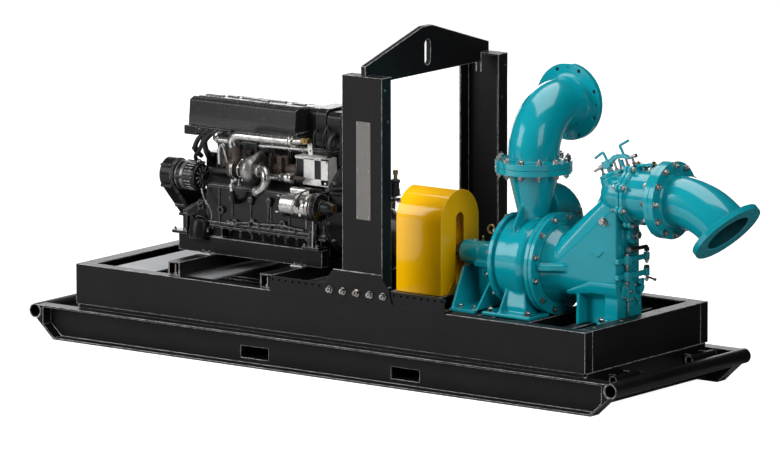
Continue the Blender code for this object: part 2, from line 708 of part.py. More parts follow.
def build_chest(cover_end):
    """Flat-sided chamber with a round belly, which carries the inlet drum at its top."""
    start = cover_end + GAP
    outline = [(start, BELLY_Z), (CHEST_FACE_X, BELLY_Z), (CHEST_FACE_X, 1.24), (1.76, 1.28),
               (1.76, 1.254), (start, 0.947)]
    chest = prism("suction_chest", outline, "XZ", -CHEST_HALF, CHEST_HALF, "teal")
    join(chest, rod("chest_belly", (start, 0, BELLY_Z), (CHEST_FACE_X, 0, BELLY_Z),
                    CHEST_HALF - 0.0005, None, 28))
    length = DRUM_END - DRUM_START
    bowl = [(0, 0), (0.080, 0.004), (0.130, 0.030), (0.160, 0.070), (DRUM_RADIUS, 0.110),
            (DRUM_RADIUS, length), (0, length)]
    join(chest, turned("chest_drum", bowl, (DRUM_START, 0, INLET_Z), (1, 0, 0), None, 28))
    join(chest, rod("chest_boss", (1.85, 0, 1.005), (1.925, 0, 1.005), 0.058, None, 20))
    join(chest, fill_oval("fill_neck", 0.112, 0.095, -0.100, -0.020))
    join(chest, fill_oval("fill_collar", 0.138, 0.108, -0.040, 0))
    cut(chest, fill_block("fill_clearance", -0.160, 0.150, 0.30, 0, 0.20))


def fill_oval(name, half_along, half_across, low, high):
    """Oval plate or neck on the lid's slope, between two heights square to it."""
    bm = bmesh.new()
    bmesh.ops.create_cone(bm, cap_ends=True, segments=28, radius1=1, radius2=1, depth=high - low)
    bmesh.ops.scale(bm, vec=(half_along, half_across, 1), verts=bm.verts[:])
    bmesh.ops.translate(bm, vec=(0, 0, (high + low) / 2), verts=bm.verts[:])
    tilt = Matrix.Rotation(-FILL_TILT, 3, "Y")
    bmesh.ops.rotate(bm, cent=(0, 0, 0), matrix=tilt, verts=bm.verts[:])
    bmesh.ops.translate(bm, vec=FILL_ORIGIN, verts=bm.verts[:])
    return make_object(name, bm)


def fill_block(name, low_x, high_x, half, low_z, high_z, finish=None):
    bm = box_mesh((low_x, -half, low_z), (high_x, half, high_z))
    tilt = Matrix.Rotation(-FILL_TILT, 3, "Y")
    bmesh.ops.rotate(bm, cent=(0, 0, 0), matrix=tilt, verts=bm.verts[:])
    bmesh.ops.translate(bm, vec=FILL_ORIGIN, verts=bm.verts[:])
    return make_object(name, bm, finish)


def build_fill_cover():
    """Lid on the filling neck with the bridge that clamps it down."""
    lid = fill_block("fill_cover", -0.095, 0.095, 0.070, GAP, 0.018, "teal")
    join(lid, fill_block("fill_posts_low", -0.085, -0.060, 0.015, 0.010, 0.060))
    join(lid, fill_block("fill_posts_high", 0.065, 0.090, 0.015, 0.010, 0.060))
    join(lid, fill_block("fill_bridge", -0.165, 0.150, 0.016, 0.052, 0.076))


def build_drain_and_clamp():
    face = CHEST_FACE_X + GAP
    profile = [(0, 0), (0.072, 0), (0.072, 0.022), (0.050, 0.030), (0, 0.030)]
    turned("drain_cover", profile, (face, -0.015, 0.648), (1, 0, 0), "teal", 24)
    clamp = box("cleanout_clamp", (face, -0.062, 0.815), (face + 0.040, 0.165, 0.850), "teal")
    join(clamp, box("clamp_low_arm", (face, -0.062, 0.727), (face + 0.040, 0.165, 0.762)))
    pin_x = face + 0.020
    pin_y = -0.035
    join(clamp, rod("clamp_pin", (pin_x, pin_y, 0.740), (pin_x, pin_y, 0.872), 0.010, None, 12))


def build_return_chamber():
    """Bent chamber behind the riser, from its neck down to the far side of the drum."""
    radius = 0.130
    start = Vector((RISER_X, 0.03, 1.118))
    bend_radius = 0.190
    leg_y = 0.130 + bend_radius
    bm = bmesh.new()
    bmesh.ops.create_circle(bm, cap_ends=True, segments=24, radius=radius)
    bmesh.ops.rotate(bm, cent=(0, 0, 0), matrix=turn_to((0, 1, 0)), verts=bm.verts[:])
    bmesh.ops.translate(bm, vec=start, verts=bm.verts[:])
    face = grow(bm, bm.faces[:][0], Matrix.Translation((0, 0.100, 0)))
    centre = Matrix.Translation((RISER_X, 0.130, start.z - bend_radius))
    turn = centre @ Matrix.Rotation(-math.pi / 16, 4, "X") @ centre.inverted()
    for _ in range(8):
        face = grow(bm, face, turn)
    grow(bm, face, Matrix.Translation((0, 0, -0.130)))
    chamber = make_object("return_chamber", bm, "teal", smooth=True)
    join(chamber, rod("chamber_flange", (RISER_X, leg_y, 0.895), (RISER_X, leg_y, 0.930),
                      0.160, None, 28))
    cut(chamber, turned("chamber_riser_seat", riser_profile(GAP), (RISER_X, 0, RISER_BOTTOM),
                        (0, 0, 1)))
    for index, x in enumerate((BACKPLATE_X, BACKPLATE_X - GAP)):
        cut(chamber, turned("chamber_drum_seat_%d" % index, volute_profile(GAP),
                            (x, 0, SHAFT_Z), (1, 0, 0)))


def build_chest_foot():
    """Cast foot that saddles the belly, recessed between its legs on both sides."""
    base = CHEST_BED_TOP + GAP
    outline = [(1.605, base), (1.895, base), (1.895, base + 0.020), (1.868, base + 0.020),
               (1.868, 0.685), (1.640, 0.685), (1.615, 0.60)]
    foot = prism("chest_foot", outline, "XZ", -0.155, 0.155, "teal")
    for side in (-1, 1):
        low, high = mirrored(side, 0.10, 0.5)
        cut(foot, box("foot_recess_%d" % side, (1.635, low, base + 0.020), (1.790, high, 0.610)))
    cut(foot, rod("belly_seat", (1.5, 0, BELLY_Z), (2.0, 0, BELLY_Z),
                  CHEST_HALF + GAP, None, 28))


def riser_profile(extra):
    """Outside of the cone and of its joint flange, from the bottom up."""
    top = JOINT_Z - GAP - RISER_BOTTOM
    neck = top - FLANGE_THICK
    return [(0, 0), (0.078 + extra, 0), (0.078 + extra, 0.080), (0.155 + extra, neck - extra),
            (FLANGE_RADIUS + extra, neck - extra), (FLANGE_RADIUS + extra, top), (0, top)]


def build_riser():
    """Cone whose foot is shaped to the drum, with a blind bore."""
    floor = 0.130
    outside = riser_profile(0)
    top = outside[-1][1]
    profile = outside[:-1] + [(0.143, top), (0.078, floor), (0, floor)]
    riser = turned("discharge_riser", profile, (RISER_X, 0, RISER_BOTTOM), (0, 0, 1), "teal")
    cut(riser, turned("riser_seat", volute_profile(GAP), (BACKPLATE_X, 0, SHAFT_Z), (1, 0, 0)))


def build_discharge_elbow():
    elbow, face, way = flanged_bend(
        "discharge_elbow", (RISER_X, 0, JOINT_Z), (0, 0, 1), (-1, 0, 0), math.pi / 2,
        ELBOW_NECK, ELBOW_RADIUS, ELBOW_TAIL, PIPE_RADIUS, 9)
    cut(elbow, ring_of_holes("elbow_holes", face, way, BOLT_CIRCLE, OUTLET_HOLES,
                             OUTLET_HOLE_RADIUS, 0.1))


def build_suction_spool():
    start = DRUM_END + GAP
    end = SUCTION_JOINT_X - GAP
    length = end - start
    joint = length - FLANGE_THICK
    inlet = [(0, 0), (0.190, 0), (0.190, 0.055), (PIPE_RADIUS, 0.055), (PIPE_RADIUS, joint),
             (FLANGE_RADIUS, joint), (FLANGE_RADIUS, length), (BORE_RADIUS, length),
             (BORE_RADIUS, 0.02), (0, 0.02)]
    turned("suction_spool", inlet, (start, 0, INLET_Z), (1, 0, 0), "teal")


def build_suction_elbow():
    elbow, face, way = flanged_bend(
        "suction_elbow", (SUCTION_JOINT_X, 0, INLET_Z), (1, 0, 0), (0, 1, 0), math.pi / 4,
        SUCTION_NECK, SUCTION_RADIUS, SUCTION_TAIL, 0.160, 6)
    cut(elbow, ring_of_holes("suction_holes", face, way, BOLT_CIRCLE, BOLT_COUNT,
                             BOLT_HOLE_RADIUS, 0.1))


def build_post(name, side):
    """Upright channel with its open side inward."""
    bottom = BASE_TOP + STRIP_PLATE + 2 * GAP
    low, high = mirrored(side, POST_FACE - POST_DEPTH, POST_FACE)
    post = box(name, (POST_X[0], low, bottom), (POST_X[1], high, POST_TOP), "black")
    low, high = mirrored(side, POST_FACE - POST_DEPTH - 0.02, POST_FACE - POST_PLATE)
    cut(post, box(name + "_inside", (POST_X[0] + POST_PLATE, low, bottom + POST_PLATE),
                  (POST_X[1] - POST_PLATE, high, POST_TOP - POST_PLATE)))


def build_lift_strip(name, side):
    """Strip on the shoulder of the base frame: a plate outside and a plate on top."""
    outer = POST_FACE + GAP + STRIP_WALL
    inner = BASE_HALF_WIDTH - 0.075
    seat = BASE_HALF_WIDTH + GAP
    low = BASE_TOP + GAP
    plate_top = BASE_TOP + STRIP_PLATE + GAP
    outline = [(outer, STRIP_BOTTOM), (outer, STRIP_TOP), (POST_FACE + GAP, STRIP_TOP),
               (POST_FACE + GAP, plate_top), (inner, plate_top), (inner, low), (seat, low),
               (seat, STRIP_BOTTOM)]
    outline = [(side * y, z) for y, z in outline]
    prism(name, outline, "YZ", STRIP_X[0], STRIP_X[1], "black")


def build_post_foot_plate(name, side):
    """Six-sided plate that covers the foot of the post, bolted over the strip."""
    outer = POST_FACE + GAP + STRIP_WALL
    low, high = mirrored(side, outer + GAP, outer + 0.010)
    shape = [(0.025, 0.513), (0.560, 0.513), (0.535, 0.605), (0.465, 0.687), (0.100, 0.687),
             (0.037, 0.600)]
    prism(name, shape, "XZ", low, high, "black")


def build_lifting_plate():
    """Gabled plate between the tops of the posts, with a slot for a hook."""
    shoulder_end = 0.648
    peak_half = 0.051
    step = POST_FACE - POST_DEPTH - GAP
    half = [(step, LIFT_BOTTOM), (step, POST_TOP + GAP), (shoulder_end, POST_TOP + GAP),
            (shoulder_end, LIFT_SHOULDER), (peak_half, LIFT_PEAK)]
    outline = half + [(-y, z) for y, z in reversed(half)]
    middle = (POST_X[0] + POST_X[1]) / 2
    thick = LIFT_PLATE_THICK / 2
    plate = prism("lifting_plate", outline, "YZ", middle - thick, middle + thick, "black")
    radius = LIFT_SLOT_WIDTH / 2
    slot = []
    for centre, first in ((LIFT_SLOT[1] - radius, 0), (LIFT_SLOT[0] + radius, math.pi)):
        for index in range(9):
            angle = first + math.pi * index / 8
            slot.append((radius * math.cos(angle), centre + radius * math.sin(angle)))
    cut(plate, prism("lift_slot", slot, "YZ", 0, 1))


def build_lift_frame():
    for label, side in (("near", -1), ("far", 1)):
        build_post("post_" + label, side)
        build_lift_strip("lift_strip_" + label, side)
        build_post_foot_plate("post_foot_plate_" + label, side)
    build_lifting_plate()


def main():
    clear_scene()
    build_skid_rail("skid_rail_near", -1)
    build_skid_rail("skid_rail_far", 1)
    build_tow_pipe("tow_pipe_engine_end", -1)
    build_tow_pipe("tow_pipe_pump_end", 1)
    build_fork_pocket("fork_pocket_engine_side", POCKET_X[0])
    build_fork_pocket("fork_pocket_pump_side", POCKET_X[1])
    build_base_floor()
    base_side("base_side_near", -1)
    base_side("base_side_far", 1)
    base_end("base_end_engine", -1)
    base_end("base_end_pump", 1)
    build_cross_plates()
    build_cross_tubes()
    build_engine_rails()
    build_engine_core()
    build_flywheel_housing()
    build_front_drive()
    build_engine_near_side()
    build_lift_frame()
    build_guard()
    build_drive_shaft()
    build_pump_bed()
    build_bearing()
    ring_x = build_volute()
    cover_end = build_cover(ring_x)
    build_chest(cover_end)
    build_chest_foot()
    build_fill_cover()
    build_drain_and_clamp()
    build_riser()
    build_return_chamber()
    build_discharge_elbow()
    build_suction_spool()
    build_suction_elbow()


main()
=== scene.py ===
import json
import math

import bmesh
import bpy
from mathutils import Matrix, Vector


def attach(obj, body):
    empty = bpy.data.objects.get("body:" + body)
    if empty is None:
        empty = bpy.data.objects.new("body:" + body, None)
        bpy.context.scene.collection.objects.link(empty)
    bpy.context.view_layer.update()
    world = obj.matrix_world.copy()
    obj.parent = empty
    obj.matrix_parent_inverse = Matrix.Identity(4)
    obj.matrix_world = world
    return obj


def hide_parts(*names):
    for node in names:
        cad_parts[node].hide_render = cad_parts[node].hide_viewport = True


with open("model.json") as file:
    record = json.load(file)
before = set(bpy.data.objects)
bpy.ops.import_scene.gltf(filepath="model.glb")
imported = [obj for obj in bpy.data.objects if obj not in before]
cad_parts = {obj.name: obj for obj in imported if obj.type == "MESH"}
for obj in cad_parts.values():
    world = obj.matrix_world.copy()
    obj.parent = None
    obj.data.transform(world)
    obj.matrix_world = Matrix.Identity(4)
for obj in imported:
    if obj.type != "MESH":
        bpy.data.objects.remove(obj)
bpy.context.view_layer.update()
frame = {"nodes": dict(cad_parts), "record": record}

# %% [markdown]
# # A trash pump on a lifting skid
# The imported model gives the true sizes: the skid, the base frame, the posts and every
# main casting. This script dresses that model. Flat steelwork stays as it was packed and
# gets a painted finish with softened edges. Castings, pipes and engine parts are modelled
# again here, smoother and with their bolts, and each stands in for its plain solid.


# %% Small tools for objects and nodes
def new_object(name, data):
    """Put a mesh, a light or a camera into the scene."""
    item = bpy.data.objects.new(name, data)
    bpy.context.scene.collection.objects.link(item)
    return item


def mesh_object(name, bm):
    """Turn a bmesh into an object and free it."""
    mesh = bpy.data.meshes.new(name)
    bm.to_mesh(mesh)
    bm.free()
    return new_object(name, mesh)


def node(tree, kind, inputs=(), **settings):
    """Make a node, set its properties, and fill its inputs with values or links."""
    made = tree.nodes.new(kind)
    for key, value in settings.items():
        setattr(made, key, value)
    for socket, value in dict(inputs).items():
        if isinstance(value, bpy.types.NodeSocket):
            tree.links.new(value, made.inputs[socket])
        else:
            made.inputs[socket].default_value = value
    return made


# %% [markdown]
# ## Camera
# A long lens from the near right corner, slightly above the skid. The numbers come from
# fitting a pinhole camera to the straight edges of the base frame. The camera's frame is
# built from three axes (right, up, back), then turned by a very small roll.

# %% Place the camera
AZIMUTH = math.radians(36.81576)
ELEVATION = math.radians(10.07640)
ROLL = math.radians(-0.06704)
CAMERA_PLACE = (31.40556, -41.90084, 10.16720)
FOCAL_PIXELS = 8451.143
IMAGE_WIDTH = 780
SENSOR_WIDTH = 36.0
FAR_LIMIT = 200

back = Vector((math.sin(AZIMUTH) * math.cos(ELEVATION),
               -math.cos(AZIMUTH) * math.cos(ELEVATION),
               math.sin(ELEVATION)))
right = Vector((math.cos(AZIMUTH), math.sin(AZIMUTH), 0))
up = back.cross(right)
lens = bpy.data.cameras.new("camera")
lens.sensor_width = SENSOR_WIDTH
lens.lens = FOCAL_PIXELS * SENSOR_WIDTH / IMAGE_WIDTH
lens.clip_end = FAR_LIMIT
camera = new_object("camera", lens)
turn = Matrix((right, up, back)).transposed().to_4x4() @ Matrix.Rotation(ROLL, 4, "Z")
camera.matrix_world = Matrix.Translation(CAMERA_PLACE) @ turn
bpy.context.scene.camera = camera
print("lens in mm:", round(lens.lens, 2))

# %% [markdown]
# ## Floor and surround
# The machine stands in a white studio. The camera sees a white surround, but the surround
# that lights the machine is a soft gradient: bright above and to the left, dim to the
# right, so that end faces fall into shade as they do in the photograph. The floor is pale,
# and a glow that only the camera sees keeps it white to the edge of the picture. A dark
# sheet on the floor to the right, seen by reflections alone, keeps the floor's white out of
# the end faces.

# %% Floor and dark sheet
FLOOR_HALF = 120
FLOOR_COLOUR = (0.42, 0.42, 0.42, 1)
FLOOR_GLOW = 0.97
FLOOR_GAP = 0.0005
DARK_AREAS = (((6.3, 4.6), (3.5, 6.0)), ((2.15, 2.05), (0.60, 1.2)))


def stage_sheet(name, areas, height, colour, roughness):
    """Flat sheets, each given by its middle and half sizes, that aren't part of the machine."""
    bm = bmesh.new()
    for middle, half in areas:
        corners = bmesh.ops.create_grid(bm, x_segments=1, y_segments=1, size=1.0)["verts"]
        bmesh.ops.scale(bm, vec=(*half, 1), verts=corners)
        bmesh.ops.translate(bm, vec=(*middle, height), verts=corners)
    sheet = mesh_object(name, bm)
    material = bpy.data.materials.new(name)
    material.use_nodes = True
    shader = material.node_tree.nodes["Principled BSDF"]
    shader.inputs["Base Color"].default_value = colour
    shader.inputs["Roughness"].default_value = roughness
    sheet.data.materials.append(material)
    return sheet, material.node_tree, shader


floor, tree, shader = stage_sheet("studio_floor", (((0, 0), (FLOOR_HALF, FLOOR_HALF)),),
                                  -FLOOR_GAP, FLOOR_COLOUR, 0.8)
shader.inputs["Specular IOR Level"].default_value = 0.1
shader.inputs["Emission Color"].default_value = (1, 1, 1, 1)
seen = node(tree, "ShaderNodeLightPath").outputs["Is Camera Ray"]
glow = node(tree, "ShaderNodeMath", {0: seen, 1: FLOOR_GLOW}, operation="MULTIPLY")
tree.links.new(glow.outputs[0], shader.inputs["Emission Strength"])

flag = stage_sheet("black_flag", DARK_AREAS, FLOOR_GAP, (0.03, 0.03, 0.03, 1), 0.9)[0]
flag.visible_camera = flag.visible_diffuse = flag.visible_shadow = False

# %% Surround: white for the camera, a gradient for the machine
BRIGHT_SIDE = (-0.45, -0.50, 0.74)
DIM_LIGHT, BRIGHT_LIGHT = 0.04, 1.60

world = bpy.data.worlds.new("studio")
bpy.context.scene.world = world
world.use_nodes = True
sky = world.node_tree
gradient = sky.nodes["Background"]
direction = node(sky, "ShaderNodeTexCoord").outputs["Generated"]
towards = node(sky, "ShaderNodeVectorMath", {0: direction, 1: BRIGHT_SIDE},
               operation="DOT_PRODUCT").outputs["Value"]
ramp = node(sky, "ShaderNodeMapRange",
            {"Value": towards, "From Min": -0.45, "From Max": 1.0, "To Min": DIM_LIGHT,
             "To Max": BRIGHT_LIGHT}, interpolation_type="SMOOTHSTEP")
sky.links.new(ramp.outputs[0], gradient.inputs["Strength"])
white = node(sky, "ShaderNodeBackground", {"Strength": 1.0})
camera_ray = node(sky, "ShaderNodeLightPath").outputs["Is Camera Ray"]
choose = node(sky, "ShaderNodeMixShader",
              {0: camera_ray, 1: gradient.outputs[0], 2: white.outputs[0]})
sky.links.new(choose.outputs[0], sky.nodes["World Output"].inputs["Surface"])
bpy.context.scene.view_settings.view_transform = "Standard"

# %% [markdown]
# ## Lights
# Large soft panels light the machine. Their long reflections are what shows the roundness
# of the glossy pipes, so the panel that reflects most is kept narrow. The two fills light
# the paint but show in no reflection.

# %% Soft panels
MIDDLE = (0.2, 0, 0.9)

for name, spot, aim, width, height, power in (
        ("key_panel", (-5.6, -7.4, 5.0), MIDDLE, 5.0, 5.0, 200),
        ("key_fill", (-5.0, -9.0, 5.5), MIDDLE, 5.0, 5.0, 1090),
        ("end_fill", (9.0, -3.5, 4.0), MIDDLE, 4.0, 4.0, 230),
        ("low_panel", (-2.7, -4.6, 0.80), (0.3, -0.2, 0.75), 2.6, 1.5, 5.5),
        ("side_panel", (8.0, -4.0, 4.5), MIDDLE, 3.0, 4.0, 60),
        ("backdrop", (-7.0, 9.0, 2.8), MIDDLE, 10.0, 5.0, 400),
        ("top_panel", (0.5, 0.5, 7.0), MIDDLE, 8.0, 5.0, 310)):
    panel = bpy.data.lights.new(name, "AREA")
    panel.shape = "RECTANGLE"
    panel.size, panel.size_y, panel.energy = width, height, power
    lamp = new_object(name, panel)
    way = (Vector(aim) - Vector(spot)).to_track_quat("-Z", "Y").to_matrix().to_4x4()
    lamp.matrix_world = Matrix.Translation(spot) @ way
    lamp.visible_glossy = not name.endswith("fill")
    print("light:", name, power, "W")

# %% [markdown]
# ## Small tools for modelling
# Nearly everything on a machine is a box, a bar, a turned shape or an extruded outline,
# with its edges broken. These helpers make those with bmesh operators, place them in
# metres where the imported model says, and hand over a finished object.

# %% Basic shapes inside a bmesh
def way_to(direction):
    """Rotation that takes +Z to the direction."""
    return Vector((0, 0, 1)).rotation_difference(Vector(direction).normalized()).to_matrix()


def place(bm, verts, origin, direction=(0, 0, 1)):
    bmesh.ops.rotate(bm, cent=(0, 0, 0), matrix=way_to(direction), verts=verts)
    bmesh.ops.translate(bm, vec=origin, verts=verts)


def add_box(bm, corner, opposite):
    """Box between two opposite corners, in any order."""
    low, high = zip(*(sorted(pair) for pair in zip(corner, opposite)))
    made = bmesh.ops.create_cube(bm, size=1.0)["verts"]
    bmesh.ops.scale(bm, vec=[h - l for l, h in zip(low, high)], verts=made)
    bmesh.ops.translate(bm, vec=[(h + l) / 2 for l, h in zip(low, high)], verts=made)


def add_bar(bm, start, end, radius, sides=20, end_radius=None):
    """Round bar between two points; a second radius makes it a cone, six sides a hexagon."""
    start, end = Vector(start), Vector(end)
    made = bmesh.ops.create_cone(
        bm, cap_ends=True, segments=sides, radius1=radius,
        radius2=radius if end_radius is None else end_radius,
        depth=(end - start).length)["verts"]
    place(bm, made, (start + end) / 2, end - start)


def add_ball(bm, centre, radius, around, high):
    made = bmesh.ops.create_uvsphere(bm, u_segments=around, v_segments=high,
                                     radius=radius)["verts"]
    bmesh.ops.translate(bm, vec=centre, verts=made)


def add_turned(bm, profile, origin, direction, sides=64):
    """Turn (radius, height) points round the direction; an open profile starts and ends at 0."""
    verts = [bm.verts.new((radius, 0, height)) for radius, height in profile]
    edges = [bm.edges.new(pair) for pair in zip(verts, verts[1:])]
    if profile[0][0] > 0:
        edges.append(bm.edges.new((verts[-1], verts[0])))
    before = set(bm.verts) - set(verts)
    bmesh.ops.spin(bm, geom=verts + edges, cent=(0, 0, 0), axis=(0, 0, 1), dvec=(0, 0, 0),
                   angle=2 * math.pi, steps=sides, use_merge=True, use_duplicate=False)
    made = [v for v in bm.verts if v not in before]
    bmesh.ops.remove_doubles(bm, verts=made, dist=1e-6)
    place(bm, [v for v in bm.verts if v not in before], origin, direction)


def add_ring(bm, inner, outer, height, origin, direction, sides=64):
    """Flat ring, such as a washer, a clamp band or a gasket."""
    add_turned(bm, [(inner, 0), (outer, 0), (outer, height), (inner, height)], origin,
               direction, sides)


AXES = {"XZ": (Vector((1, 0, 0)), Vector((0, 0, 1)), Vector((0, 1, 0))),
        "YZ": (Vector((0, 1, 0)), Vector((0, 0, 1)), Vector((1, 0, 0))),
        "XY": (Vector((1, 0, 0)), Vector((0, 1, 0)), Vector((0, 0, 1)))}


def add_plate(bm, outline, plane, start, end):
    """Extrude a flat outline across its plane, from start to end."""
    u_axis, v_axis, across = AXES[plane]
    verts = [bm.verts.new(u_axis * u + v_axis * v + across * start) for u, v in outline]
    grown = bmesh.ops.extrude_face_region(bm, geom=[bm.faces.new(verts)])["geom"]
    moved = [g for g in grown if isinstance(g, bmesh.types.BMVert)]
    bmesh.ops.translate(bm, vec=across * (end - start), verts=moved)


def arc(centre, radius, start, end, steps):
    """Points of an arc in an outline, angles in degrees."""
    points = []
    for step in range(steps + 1):
        angle = math.radians(start + (end - start) * step / steps)
        points.append((centre[0] + radius * math.cos(angle),
                       centre[1] + radius * math.sin(angle)))
    return points


def add_part(bm, part):
    """Copy one bmesh into another and free it."""
    mesh = bpy.data.meshes.new("part")
    part.to_mesh(mesh)
    part.free()
    bm.from_mesh(mesh)
    bpy.data.meshes.remove(mesh)


def add_hull(bm, *shapes):
    """Skin the hull of some shapes, each a maker with its arguments, without what lies inside."""
    part = bmesh.new()
    for maker, *values in shapes:
        maker(part, *values)
    hull = bmesh.ops.convex_hull(part, input=part.verts[:])
    loose = [g for g in hull["geom_interior"] if isinstance(g, bmesh.types.BMVert)]
    bmesh.ops.delete(part, geom=loose, context="VERTS")
    inner = [f for f in part.faces if f not in set(hull["geom"])]
    bmesh.ops.delete(part, geom=inner, context="FACES_ONLY")
    bmesh.ops.delete(part, geom=[e for e in part.edges if not e.link_faces], context="EDGES")
    add_part(bm, part)


# %% [markdown]
# A pipe, hose or cable is a circle that is extruded step by step along a smooth path. The
# path is a Catmull-Rom curve through a few points, and the circle's frame is carried along
# without twist.

# %% Tubes along a path
def smooth_path(points, steps=8):
    points = [Vector(p) for p in points]
    ends = [points[0] * 2 - points[1]] + points + [points[-1] * 2 - points[-2]]
    path = []
    for index in range(1, len(ends) - 2):
        p0, p1, p2, p3 = ends[index - 1:index + 3]
        for step in range(steps):
            t = step / steps
            path.append(0.5 * ((2 * p1) + (p2 - p0) * t
                               + (2 * p0 - 5 * p1 + 4 * p2 - p3) * t * t
                               + (3 * p1 - p0 - 3 * p2 + p3) * t ** 3))
    return path + [points[-1]]


def add_tube(bm, path, radius, sides):
    """Extrude a closed circle from point to point, turned to follow the path."""
    path = [Vector(point) for point in path]
    ways = [(b - a).normalized() for a, b in zip(path, path[1:])]
    ways = [ways[0]] + [(a + b).normalized() for a, b in zip(ways, ways[1:])] + [ways[-1]]
    ring = bmesh.ops.create_circle(bm, cap_ends=True, segments=sides, radius=radius)["verts"]
    place(bm, ring, path[0], ways[0])
    face = ring[0].link_faces[0]
    for index in range(1, len(path)):
        grown = bmesh.ops.extrude_face_region(bm, geom=[face])["geom"]
        verts = [g for g in grown if isinstance(g, bmesh.types.BMVert)]
        if index > 1:
            bmesh.ops.delete(bm, geom=[face], context="FACES_ONLY")
        face = [g for g in grown if isinstance(g, bmesh.types.BMFace)][0]
        swing = ways[index - 1].rotation_difference(ways[index]).to_matrix()
        bmesh.ops.rotate(bm, cent=path[index - 1], matrix=swing, verts=verts)
        bmesh.ops.translate(bm, vec=path[index] - path[index - 1], verts=verts)


def add_hose(bm, points, steps, radius, sides):
    """Tube on the smooth path through a few points, with some steps between each two."""
    add_tube(bm, smooth_path(points, steps), radius, sides)


# %% [markdown]
# ## From a bmesh to a finished piece
# Real edges are never knife sharp. A bevel on every sharp edge catches the light as a
# thin bright line, which is how steelwork reads in a photograph. Weighted normals keep the
# flat faces flat. Castings are different: their corners are all rounded by the mould, so
# they're skinned anew on a fine grid and smoothed, which also gives fillets where shapes
# meet.

# %% Finish a piece
PIECES = {}
SHARP = 32
BY_MATERIAL = "by material"


def soften(item, width, segments=2, sharp=SHARP):
    """Bevel the sharp edges and keep the flat faces flat."""
    bevel = item.modifiers.new("edges", "BEVEL")
    bevel.width = width
    bevel.segments = segments
    bevel.limit_method = "ANGLE"
    bevel.angle_limit = math.radians(sharp)
    bevel.profile = 0.5
    bevel.use_clamp_overlap = True
    even = item.modifiers.new("flat_faces", "WEIGHTED_NORMAL")
    even.keep_sharp = False
    even.weight = 60


def hang(item, material, replaces, slot):
    """Hang a piece on the model: its material, its body, and the node it stands for. The slot is
    worked out but not stored.
    """
    item.data.materials.append(material)
    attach(item, "root")
    if replaces:
        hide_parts(replaces)
    if slot == BY_MATERIAL:
        slot = SLOTS.get(material.name)
    PIECES[item.name] = item
    return item


def boolean(bm, tool):
    """Cut one closed bmesh with another and return the result."""
    for part in (bm, tool):
        bmesh.ops.recalc_face_normals(part, faces=part.faces[:])
    items = [mesh_object("cutting", part) for part in (bm, tool)]
    change = items[0].modifiers.new("cut", "BOOLEAN")
    change.operation = "DIFFERENCE"
    change.solver = "EXACT"
    change.object = items[1]
    result = bmesh.new()
    result.from_object(items[0], bpy.context.evaluated_depsgraph_get())
    for item in items:
        mesh = item.data
        bpy.data.objects.remove(item)
        bpy.data.meshes.remove(mesh)
    return result


def piece(name, bm, material, replaces=None, bevel=0.0015, segments=2, sharp=SHARP,
          slot=BY_MATERIAL):
    """Break the sharp edges, shade the rest smooth, and hang the piece on the model."""
    bmesh.ops.recalc_face_normals(bm, faces=bm.faces[:])
    item = mesh_object(name, bm)
    item.data.shade_smooth()
    if bevel:
        soften(item, bevel, segments, sharp)
    else:
        item.data.set_sharp_from_angle(angle=math.radians(sharp))
    return hang(item, material, replaces, slot)


def casting(name, bm, material, replaces=None, voxel=0.006, rounds=6, slot=BY_MATERIAL):
    """Skin the shapes as one casting with rounded corners and filleted joints."""
    bmesh.ops.recalc_face_normals(bm, faces=bm.faces[:])
    item = mesh_object(name, bm)
    skin = item.modifiers.new("skin", "REMESH")
    skin.mode = "VOXEL"
    skin.voxel_size = voxel
    skin.use_smooth_shade = True
    ease = item.modifiers.new("fillets", "SMOOTH")
    ease.factor = 0.5
    ease.iterations = rounds
    graph = bpy.context.evaluated_depsgraph_get()
    skinned = bpy.data.meshes.new_from_object(item.evaluated_get(graph))
    rough = item.data
    item.modifiers.clear()
    item.data = skinned
    bpy.data.meshes.remove(rough)
    skinned.name = name
    skinned.shade_smooth()
    skinned.materials.clear()
    print(name, "faces:", len(skinned.polygons))
    return hang(item, material, replaces, slot)


# %% [markdown]
# ## Bolts
# The flanges are held by hexagon bolts with washers. One bolt has a chamfered hexagon, a
# washer and the round end of its thread. A set of bolts is one piece, so a ring of
# twelve is a single mesh that is easy to place and light to draw.

# %% Bolt sets
ALONG, UP, DOWN = (1, 0, 0), (0, 0, 1), (0, 0, -1)
BACKWARDS, NEARWARDS = (-1, 0, 0), (0, -1, 0)


def spoke(turn):
    """Unit vector across the skid's length, at an angle in degrees from +Y."""
    return Vector((0, math.cos(math.radians(turn)), math.sin(math.radians(turn))))


def add_bolt(bm, spot, direction, size=0.034, turn=0.0, stud=True):
    """Washer and hexagon of a given width across its flats, standing on the spot."""
    radius = size / math.sqrt(3)
    low = size * 0.10
    layers = [(24, size * 0.68, size * 0.66, 0, low), (6, radius, radius, low, size * 0.60),
              (6, radius, radius * 0.82, size * 0.60, size * 0.70)]
    if stud:
        layers.append((14, size * 0.29, size * 0.22, size * 0.65, size * 0.99))
    parts = []
    for sides, first, last, start, end in layers:
        made = bmesh.ops.create_cone(bm, cap_ends=True, segments=sides, radius1=first,
                                     radius2=last, depth=end - start)["verts"]
        bmesh.ops.translate(bm, vec=(0, 0, (start + end) / 2), verts=made)
        parts += made
    bmesh.ops.rotate(bm, cent=(0, 0, 0), matrix=Matrix.Rotation(turn, 3, "Z"), verts=parts)
    place(bm, parts, spot, direction)


